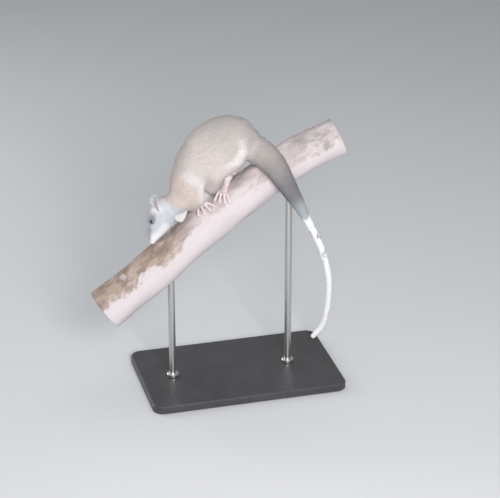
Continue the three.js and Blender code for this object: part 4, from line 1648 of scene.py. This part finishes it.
class CoatTree(Graph):
    """The tree that sets tufts on one region of the skin along the lie of the hair."""

    INPUTS = {
        "Tuft": "Object", "Region": "Int", "Spacing": "Float", "Lift": "Float", "Scatter": "Float",
        "Patch": "Float", "Ridges": "Float", "Finish": "Material", "Seed": "Int",
    }
    CROWDING = 1.1
    RAISED = (0.2, 1.9)
    LONGER = (0.75, 1.2)
    WIDER = (0.75, 1.25)
    SPENT = ("lie", "long", "wide", "dense", "region", "root_place", "tuft_local", "bare", "root_normal")

    def __init__(self) -> None:
        """Builds the tree."""
        super().__init__("coat_tufts")
        self.given = {name: self.input(name, kind) for name, kind in self.INPUTS.items()}
        self._finish(self._tufts(self._points()))

    def _points(self) -> Node:
        """Places tufts on the faces of one region."""
        same = self.add("FunctionNodeCompare", data_type="INT", operation="EQUAL")
        self.join(self.named("region", "INT"), same.inputs[2])
        self.join(self.given["Region"], same.inputs[3])
        spacing = self.given["Spacing"]
        return self.add(
            "GeometryNodeDistributePointsOnFaces", distribute_method="POISSON",
            Mesh=self.start.outputs["Geometry"], Selection=same.outputs["Result"], Distance_Min=spacing,
            Density_Max=self.math("DIVIDE", self.CROWDING, self.math("MULTIPLY", spacing, spacing)),
            Density_Factor=self.named("dense", "FLOAT"), Seed=self.given["Seed"],
        )

    def _seed(self, step: float) -> Socket:
        """A seed of its own for each random value."""
        return self.math("ADD", self.given["Seed"], step)

    def _tufts(self, points: Node) -> Socket:
        """Turned, raised and scaled tufts on the points, each with its shade."""
        normal, seed = points.outputs["Normal"], self.given["Seed"]
        turn = self.add(
            "ShaderNodeVectorRotate", rotation_type="AXIS_ANGLE", Vector=self.named("lie", "FLOAT_VECTOR"),
            Axis=normal, Angle=self.math("MULTIPLY", self.random(-1.0, 1.0, seed), self.given["Scatter"]),
        )
        raised = self.math("MULTIPLY", self.random(*self.RAISED, self._seed(1.0)), self.given["Lift"])
        way = self.total(turn.outputs["Vector"], self.times(normal, raised))
        aim = self.add(
            "FunctionNodeAxesToRotation", primary_axis="X", secondary_axis="Z", Primary_Axis=way,
            Secondary_Axis=normal,
        )
        long = self.math("MULTIPLY", self.named("long", "FLOAT"), self.random(*self.LONGER, self._seed(2.0)))
        wide = self.math("MULTIPLY", self.named("wide", "FLOAT"), self.random(*self.WIDER, self._seed(3.0)))
        size = self.add("ShaderNodeCombineXYZ", X=long, Y=wide, Z=long)
        tuft = self.add("GeometryNodeObjectInfo", transform_space="ORIGINAL", Object=self.given["Tuft"])
        tufts = self.add(
            "GeometryNodeInstanceOnPoints",
            Points=points.outputs["Points"], Instance=tuft.outputs["Geometry"],
            Rotation=aim.outputs["Rotation"], Scale=size.outputs["Vector"],
        )
        shade = self.add(
            "GeometryNodeStoreNamedAttribute", data_type="FLOAT", domain="INSTANCE", Name="shade",
            Geometry=tufts.outputs["Instances"], Value=self.random(0.0, 1.0, self._seed(4.0)),
        )
        return shade.outputs["Geometry"]

    def _finish(self, tufts: Socket) -> None:
        """Makes the tufts real, with their unwrap, soft shading and material."""
        real = self.add("GeometryNodeRealizeInstances", Geometry=tufts)
        spot = self.times(self.named("tuft_local", "FLOAT_VECTOR"), self.given["Patch"])
        place = self.total(self.named("root_place", "FLOAT_VECTOR"), spot)
        unwrap = self.add(
            "GeometryNodeStoreNamedAttribute", data_type="FLOAT2", domain="CORNER", Name="OFBake",
            Geometry=real.outputs["Geometry"], Value=place,
        )
        own = self.times(self.add("GeometryNodeInputNormal").outputs["Normal"], self.given["Ridges"])
        shading = self.add("ShaderNodeVectorMath", operation="NORMALIZE")
        self.join(self.total(self.named("root_normal", "FLOAT_VECTOR"), own), shading.inputs[0])
        last = self.add(
            "GeometryNodeSetMeshNormal", mode="FREE", domain="POINT", Mesh=unwrap.outputs["Geometry"],
            Custom_Normal=shading.outputs["Vector"],
        )
        for name in self.SPENT:
            last = self.add("GeometryNodeRemoveAttribute", Name=name, Geometry=last.outputs[0])
        dress = self.add("GeometryNodeSetMaterial", Geometry=last.outputs[0], Material=self.given["Finish"])
        self.join(dress.outputs["Geometry"], self.end.inputs["Geometry"])


@dataclass(frozen=True)
class Tuft:
    """One thin solid tuft, a unit long and a unit wide, that arches up and lies down at its tip."""

    rings: tuple[tuple[float, float, float], ...] = ((0.0, 0.55, 0.0), (0.45, 0.5, 0.055))
    ridge: float = 0.035
    under: float = 0.01
    fold: float = 0.1
    tip: Point = (1.0, 0.0, 0.015)

    def object(self) -> Piece:
        """The tuft with its own small unwrap and its share along the hair."""
        places = []
        for x, half, z in self.rings:
            places += [(x, -half, z - self.under), (x, half, z - self.under), (x, 0.0, z + self.ridge)]
        places.append(self.tip)
        faces = [(0, 2, 1)]
        for j in range(3):
            k = (j + 1) % 3
            faces += [(j, k, 3 + k, 3 + j), (3 + j, 3 + k, 6)]
        mesh = bpy.data.meshes.new("tuft")
        mesh.from_pydata(places, [], faces)
        face_outwards(mesh)
        folds = [self.fold if i % 3 == 2 else 0.0 for i in range(len(places))]
        spots = np.array([(x, y + 0.5 + fold, 0.0) for (x, y, _), fold in zip(places, folds)])
        store(mesh, "tuft_local", spots - np.array([0.5, 0.5, 0.0]), "FLOAT_VECTOR")
        store(mesh, "along", spots[:, 0])
        return linked("tuft", mesh)


@dataclass(frozen=True)
class CoatPiece:
    """One region of the coat: how closely its tufts stand, lift and scatter."""

    name: str
    region: Region
    spacing: float
    lift: float
    scatter: float


@dataclass
class Coat:
    """The coat's pieces."""

    patch: float = 0.003
    ridges: float = 0.35
    first_seed: int = 11
    pieces: tuple[CoatPiece, ...] = (
        CoatPiece("coat_head", Region.HEAD, 0.62, 0.16, 0.3),
        CoatPiece("coat_neck", Region.NECK, 0.8, 0.22, 0.4),
        CoatPiece("coat_trunk_front", Region.TRUNK_FRONT, 0.95, 0.25, 0.4),
        CoatPiece("coat_trunk_rear", Region.TRUNK_REAR, 0.95, 0.25, 0.4),
        CoatPiece("coat_tail", Region.TAIL, 0.8, 0.18, 0.3),
        CoatPiece("coat_legs", Region.LEGS, 0.75, 0.12, 0.35),
    )

    def build(self, skin: Piece, finish: Material) -> list[Piece]:
        """Grows every piece on the skin.

        Args:
            skin: the skin with its fields.
            finish: the material of the tufts.

        Returns:
            One plain mesh object for each piece.
        """
        tuft, made = Tuft().object(), []
        tree = CoatTree()
        names = tree.identifiers()
        for number, piece in enumerate(self.pieces):
            base = linked(piece.name + "_base", skin.data)
            modifier = base.modifiers.new("coat", "NODES")
            modifier.node_group = tree.tree
            settings = {
                "Tuft": tuft, "Region": int(piece.region), "Spacing": piece.spacing * MM, "Lift": piece.lift,
                "Scatter": piece.scatter, "Patch": self.patch, "Ridges": self.ridges, "Finish": finish,
                "Seed": self.first_seed + number,
            }
            for key, value in settings.items():
                modifier[names[key]] = value
            made.append(evaluated_mesh(base, piece.name))
        bpy.data.objects.remove(tuft)
        return made


@dataclass(frozen=True)
class Ear:
    """One thin cupped ear, its rim rolled forward, with two folds inside its base."""

    name: str
    side: int
    tip: Point
    opening: Point
    at: Point = (-9.0, 14.5, 8.5)
    long: float = 28.0
    wide: float = 23.0
    cup: float = 4.5
    thick: float = 1.5
    narrower: float = 0.34
    raised: float = 0.78
    fold: Point = (0.55, 0.34, 0.1)
    pleat: Point = (0.1, 0.6, 0.2)
    pleats: float = 14.0
    across: int = 56
    up: int = 64

    def build(self, head: HeadFrame, finish: Material) -> Piece:
        """The ear in its place on the head."""
        turn = full_circle(self.across)
        rise = np.linspace(0.03, math.pi - 0.03, self.up)
        height = -np.cos(rise)[:, None] * np.ones(self.across)
        girth = np.sin(rise)[:, None]
        x, layer = girth * np.cos(turn), girth * np.sin(turn)
        narrowing = 1 - self.narrower * height**2
        face = np.sign(layer) * np.abs(layer) ** 0.4 * (self.thick / 2)
        hollow = self.cup * (x**2 + 0.25 * (1 - height) * np.abs(x))
        front = np.where(layer > 0, 1.0, 0.0)
        (deep, at, wide), (shallow, beside, broad) = self.fold, self.pleat
        fold = dent(np.abs(x) - at, deep, wide) * np.clip(-height + 0.35, 0.0, 1.0)
        pleats = shallow * np.sin(self.pleats * height) * dent(np.abs(x) - beside, 1.0, broad)
        local = np.stack([
            x * narrowing * (self.wide / 2), (height + self.raised) * (self.long / 2),
            face * 0.8 + hollow * narrowing + front * (fold + pleats),
        ], axis=-1)
        up = unit(np.array(self.tip))
        side = unit(np.cross(up, np.array(self.opening)))
        axes = np.array([side, up, np.cross(side, up)])
        forward, out, crown = self.at
        placed = local @ axes + np.array([forward, self.side * out, crown])
        made = ring_mesh(head.place_rings(placed)).object(self.name)
        rim = np.sqrt(np.clip(x**2 + (0.5 * np.maximum(height, 0) + 0.5 * np.abs(height)) ** 2 * 0.9, 0, 1))
        store(made.data, "rim", np.append(rim.ravel(), [0.0, 1.0]))
        # Where the painted shade of the ear's inside is laid.
        inside = front * smooth(-0.8, -0.2, height)
        store(made.data, "inside", np.append(inside.ravel(), [0.0, 0.0]))
        return dress(made, finish)


def dress(piece: Piece, finish: Material) -> Piece:
    """Gives a piece its material and soft shading, with its faces pointing outwards."""
    face_outwards(piece.data)
    piece.data.materials.clear()
    piece.data.materials.append(finish)
    return piece


@dataclass(frozen=True)
class Eye:
    """One eyeball, with its pupil turned the way that the lids face."""

    name: str
    side: int
    form: FaceForm
    sides: int = 64
    rings: int = 40

    def build(self, head: HeadFrame, finish: Material) -> Piece:
        """The eyeball in its socket."""
        outward = self.form.outward(self.side)
        first = unit(np.cross(outward, np.array([1.0, 0.0, 0.0])))
        second = np.cross(outward, first)
        rise = np.linspace(0.02, math.pi - 0.02, self.rings)
        turn = full_circle(self.sides)
        ring = np.cos(turn)[:, None] * first + np.sin(turn)[:, None] * second
        around = np.cos(rise)[:, None, None] * outward + np.sin(rise)[:, None, None] * ring[None]
        places = self.form.eye(self.side) + self.form.eye_radius * around
        made = ring_mesh(head.place_rings(places)).object(self.name)
        store(made.data, "gaze", np.append(np.repeat(rise, self.sides), [0.0, math.pi]))
        return dress(made, finish)


def claws(feet: Sequence[Foot], finish: Material) -> Piece:
    """Every claw of the four feet as one piece."""
    parts = [foot.claw(digit).mesh(12, 14, 4) for foot in feet for digit in foot.digits() if digit.clawed]
    return dress(joined(parts).object("claws"), finish)


@dataclass(frozen=True)
class Whiskers:
    """Fine whiskers in rows on both sides of the muzzle.

    first and step are shares of the skull's length, and turn is each row's place round it.
    """

    rows: int = 4
    each: int = 5
    longest: float = 26.0
    radius: float = 0.1
    thinner: float = 0.85
    sides: int = 5
    first: float = 0.1
    step: float = 0.055
    turn: tuple[float, float] = (62, 14)
    droop: Point = (-0.35, 0.0, -0.12)
    sunk: float = 0.6
    shortest: float = 0.45
    longer: float = 0.14
    shorter: float = 0.08

    def hair(self, skull: Sweep, side: int, row: int, place: int) -> MeshData:
        """One whisker in the head's frame."""
        share = np.array([self.first + self.step * place])
        angle = np.array([-side * math.radians(self.turn[0] + self.turn[1] * row)])
        root = skull.surface(share, angle, -self.sunk)[0]
        long = self.longest * (self.shortest + self.longer * place) * (1.0 - self.shorter * row)
        out = unit(np.array([0.25 - 0.17 * place, side * 1.0, 0.35 - 0.28 * row]))
        bend = np.array(self.droop) * long
        stations = []
        for s in np.linspace(0, 1, 5):
            radius = self.radius * (1.0 - self.thinner * s)
            stations.append(Station(tuple(root + out * long * s + bend * s * s), radius))
        return Sweep(stations, (0.3, 0.1, 1.0)).mesh(self.sides, 10, 1)

    def build(self, anatomy: Anatomy, finish: Material) -> Piece:
        """All whiskers as one piece."""
        head, skull = anatomy.head, Sweep(SKULL)
        parts = []
        for side in SIDES:
            for number in range(self.rows * self.each):
                hair = self.hair(skull, side, *divmod(number, self.each))
                parts.append(MeshData(head.place(hair.places), hair.faces))
        made = joined(parts).object("whiskers")
        rings = (len(parts[0].places) - 2) // self.sides
        along = np.append(np.repeat(np.linspace(0, 1, rings), self.sides), [0.0, 1.0])
        store(made.data, "along", np.tile(along, len(parts)))
        return dress(made, finish)


@dataclass
class BranchPiece:
    """The branch's bark, with its crust and cut ends.

    length and girth are the sizes of the plain rod that the bark's pattern is laid out on.
    """

    form: Branch
    length: float = 480.0
    girth: float = 29.5
    crust_thick: float = 0.9
    grain_depth: float = 0.35
    sunk: float = 0.6
    crust_edge: float = 70.0
    crust_lower: float = 26.0
    crust_middle: float = 8.0
    crust_far_side: float = 12.0

    def build(self, bark: Material, cut: Material) -> Piece:
        """The branch as one piece with two materials."""
        form = self.form
        rows = form.steps + 1
        share = np.repeat(np.linspace(0, 1, rows), form.sides)
        angle = np.tile(full_circle(form.sides), rows)
        plan = np.column_stack([self.length * share, self.girth * np.sin(angle), self.girth * np.cos(angle)])
        crust = self._crust(share, angle, plan)
        relief = self.grain_depth * layered_noise(plan * np.array([0.4, 1.0, 1.0]), 9.0, 4, 3.0)
        relief = relief + crust * (self.crust_thick * (0.35 + 0.65 * layered_noise(plan, 7.0, 3, 8.0)))
        swell = form.ripple(share, angle) + relief - self.sunk
        places = form.sweep().surface(share, angle, swell).reshape(rows, form.sides, 3)
        inward = np.arange(1, form.cap_rings) / form.cap_rings
        ends = (self._cap(places[0], 1 - inward), places, self._cap(places[-1], inward))
        made = ring_mesh(np.concatenate(ends)[:, ::-1]).object("branch_bark")
        edge = np.linspace(1 / form.cap_rings, 1 - 1 / form.cap_rings, len(inward))
        ring = np.concatenate([edge, np.ones(rows), edge[::-1]])
        ring = np.append(np.repeat(ring, form.sides), [0.0, 0.0])
        store(made.data, "ring", ring)
        store(made.data, "crust", self._laid_out(crust)[:, 0])
        store(made.data, "grain", self._laid_out(plan * MM), "FLOAT_VECTOR")
        dress(made, bark)
        made.data.materials.append(cut)
        flat = ring < 0.999
        for polygon in made.data.polygons:
            polygon.material_index = int(any(flat[i] for i in polygon.vertices))
        return made

    @staticmethod
    def _cap(ring: Array, inward: Array) -> Array:
        """Rings drawn from a cut end's edge toward its middle."""
        return ring + (ring.mean(0) - ring) * inward[:, None, None]

    def _laid_out(self, values: Array) -> Array:
        """Values of the bark's rings carried over to the cut ends, with zeros for the two middles."""
        rings = values.reshape(self.form.steps + 1, self.form.sides, -1)[:, ::-1]
        caps = self.form.cap_rings - 1
        rings = np.concatenate([np.repeat(rings[:1], caps, 0), rings, np.repeat(rings[-1:], caps, 0)])
        flat = rings.reshape(-1, rings.shape[-1])
        return np.vstack([flat, np.zeros((2, flat.shape[1]))])

    def _crust(self, share: Array, angle: Array, place: Array) -> Array:
        """Where the brown crust covers the smooth bark: the upper side, with a ragged lower edge."""
        turn = np.degrees(np.arctan2(np.sin(angle), np.cos(angle)))
        stretched = place * np.array([0.5, 1.0, 1.0])
        edge = self.crust_edge + 34 * layered_noise(stretched, 26.0, 4, 1.0)
        edge = edge + 22 * layered_noise(stretched, 9.0, 2, 6.0)
        edge = edge + self.crust_lower * smooth(0.62, 0.85, share)
        beyond = turn - self.crust_middle
        reach = np.where(beyond < 0, -beyond, beyond + self.crust_far_side)
        holes = layered_noise(place, 15.0, 3, 12.0)
        fringe = 9.0 * hash_noise(place, 3.0, 4.0)
        return (1.0 - smooth(-9.0, 9.0, reach + fringe - edge)) * (1.0 - 0.6 * smooth(0.2, 0.5, holes))


@dataclass(frozen=True)
class Stand:
    """The rods of the display stand, each with a low collar on the board."""

    feet: tuple[tuple[str, float], ...] = (("stand_rod_low", -118.0), ("stand_rod_high", 58.0))
    radius: float = 5.0
    collar_radius: float = 9.0
    collar_high: float = 5.0
    board_thick: float = 12.3
    sides: int = 64

    def rod(self, name: str, x: float, branch: Branch, finish: Material) -> Piece:
        """One rod with its collar, standing on the board and reaching into the branch."""
        shares = np.linspace(0, 1, 800)
        low = branch.sweep().surface(shares, np.full(len(shares), math.pi))
        top = float(np.interp(x, low[:, 0], low[:, 2])) + 3.0
        bottom = self.board_thick - PLACE[2]
        rows = [
            (self.collar_radius - 0.6, bottom), (self.collar_radius, bottom + 0.6),
            (self.collar_radius, bottom + (self.collar_high - 1.0)),
            (self.collar_radius - 1.0, bottom + self.collar_high),
            (self.radius + 0.4, bottom + self.collar_high), (self.radius, bottom + (self.collar_high + 0.4)),
        ]
        rows += [(self.radius, z) for z in np.linspace(bottom + self.collar_high + 0.8, top, 12)]
        turns = full_circle(self.sides)
        rings = [[(x + r * math.cos(a), r * math.sin(a), z) for a in turns] for r, z in rows]
        made = dress(ring_mesh(np.array(rings)).object(name + "_bar"), finish)
        made.data.set_sharp_from_angle(angle=math.radians(40))
        return made


@dataclass(frozen=True)
class Studio:
    """The pale floor, the soft lights and the camera at the photograph's viewing angle."""

    azimuth: float = -15.0
    elevation: float = 25.0
    distance: float = 2.8
    millimetres_per_pixel: float = 1.45
    picture_width: int = 500
    sensor: float = 36.0
    floor_half: float = 9.0

    def back(self) -> Vector:
        """The direction from the subject to the camera."""
        a, e = math.radians(self.azimuth), math.radians(self.elevation)
        return Vector((math.sin(a) * math.cos(e), -math.cos(a) * math.cos(e), math.sin(e)))

    def build(self) -> None:
        """Makes the camera, the floor, the lights and the pale surroundings."""
        scene = bpy.context.scene
        target = Vector(tuple(PLACE * MM))
        camera = linked("camera", bpy.data.cameras.new("camera"))
        camera.location = target + self.back() * self.distance
        camera.rotation_mode = "QUATERNION"
        camera.rotation_quaternion = (-self.back()).to_track_quat("-Z", "Y")
        width = self.picture_width * self.millimetres_per_pixel * MM
        camera.data.sensor_width = self.sensor
        camera.data.lens = self.sensor * self.distance / width
        camera.data.clip_start, camera.data.clip_end = 0.05, 40.0
        scene.camera = camera
        scene.view_settings.view_transform = "Standard"
        self._floor()
        self._lights(target)
        world = bpy.data.worlds.new("pale_room")
        world.use_nodes = True
        air = world.node_tree.nodes["Background"]
        air.inputs["Color"].default_value = (0.9, 0.92, 0.95, 1.0)
        air.inputs["Strength"].default_value = 0.42
        scene.world = world

    def _floor(self) -> None:
        """A wide pale floor under the stand."""
        mesh = bpy.data.meshes.new("floor")
        half = self.floor_half
        places = [(-half, -half, 0), (half, -half, 0), (half, half, 0), (-half, half, 0)]
        mesh.from_pydata(places, [], [(0, 1, 2, 3)])
        floor = linked("floor", mesh)
        shader = Shader("pale_floor", 0.9)
        shader.colour(shader.blend(shader.noise(3.0), (0.5, 0.51, 0.52), (0.52, 0.53, 0.54)))
        mesh.materials.append(shader.material)

    def _lights(self, target: Vector) -> None:
        """A broad soft light by the camera, one from above and a weak one from the far side."""
        back = self.back()
        rows = (
            ("key", target + back * 2.2 + Vector((0.3, 0.0, -0.05)), 0.7, 57.0, (1.0, 0.985, 0.975)),
            ("top", target + Vector((0.2, 0.3, 1.7)), 1.4, 9.0, (0.96, 0.98, 1.0)),
            ("rim", target + Vector((-1.3, 1.2, 0.7)), 1.0, 12.0, (0.95, 0.98, 1.0)),
        )
        for name, at, size, power, colour in rows:
            light = bpy.data.lights.new(name, "AREA")
            light.size, light.energy, light.color = size, power, colour
            lamp = linked(name, light)
            lamp.location = at
            lamp.rotation_mode = "QUATERNION"
            lamp.rotation_quaternion = (target - at).to_track_quat("-Z", "Y")


def settle(piece: Piece, nodes: Sequence[str] = ()) -> None:
    """Makes a piece ride on the model and stand for CAD nodes."""
    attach(piece, "root")
    if nodes:
        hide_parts(*nodes)
    LOG.info("%s: %d faces", piece.name, len(piece.data.polygons))


def main() -> None:
    """Builds the whole scene in order."""
    logging.basicConfig(level=logging.INFO, format="%(message)s")
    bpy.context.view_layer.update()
    anatomy = Anatomy()
    skin = Skin(anatomy).build()
    coats = Coat().build(skin, FurFinish().material())
    skin.data.materials.append(SkinFinish().material())
    limbs = ("hind_leg", "foreleg", "foot", "hand")
    legs = [f"{limb}_{side}" for limb in limbs for side in ("left", "right")]
    settle(skin, ["head", "neck", "torso", "tail_base", "tail_middle", "tail_end", *legs])
    for coat in coats:
        settle(coat)
    ear_skin, wet = EarFinish().material(), EyeFinish().material()
    ears = (
        ("left", 1, (-0.42, 0.11, 0.9), (0.35, 0.85, -0.4)),
        ("right", -1, (-0.72, -0.68, 0.1), (0.61, -0.79, -0.14)),
    )
    for name, side, tip, opening in ears:
        leaf = Ear(f"ear_{name}_leaf", side, tip, opening).build(anatomy.head, ear_skin)
        settle(leaf, [f"ear_{name}"])
    for name, side in (("left", 1), ("right", -1)):
        settle(Eye(f"eye_{name}_ball", side, FaceForm()).build(anatomy.head, wet), [f"eye_{name}"])
    settle(claws(anatomy.feet, HornFinish().material()))
    settle(Whiskers().build(anatomy, WhiskerFinish().material()))
    branch = BranchPiece(anatomy.branch).build(BarkFinish().material(), CutWoodFinish().material())
    settle(branch, ["perch_branch"])
    steel, stand = SteelFinish().material(), Stand()
    for name, x in stand.feet:
        settle(stand.rod(name, x, anatomy.branch, steel), [name])
    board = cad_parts["stand_base"]
    board.data.materials.clear()
    board.data.materials.append(BoardFinish().material())
    Studio().build()


if __name__ == "__main__":
    main()
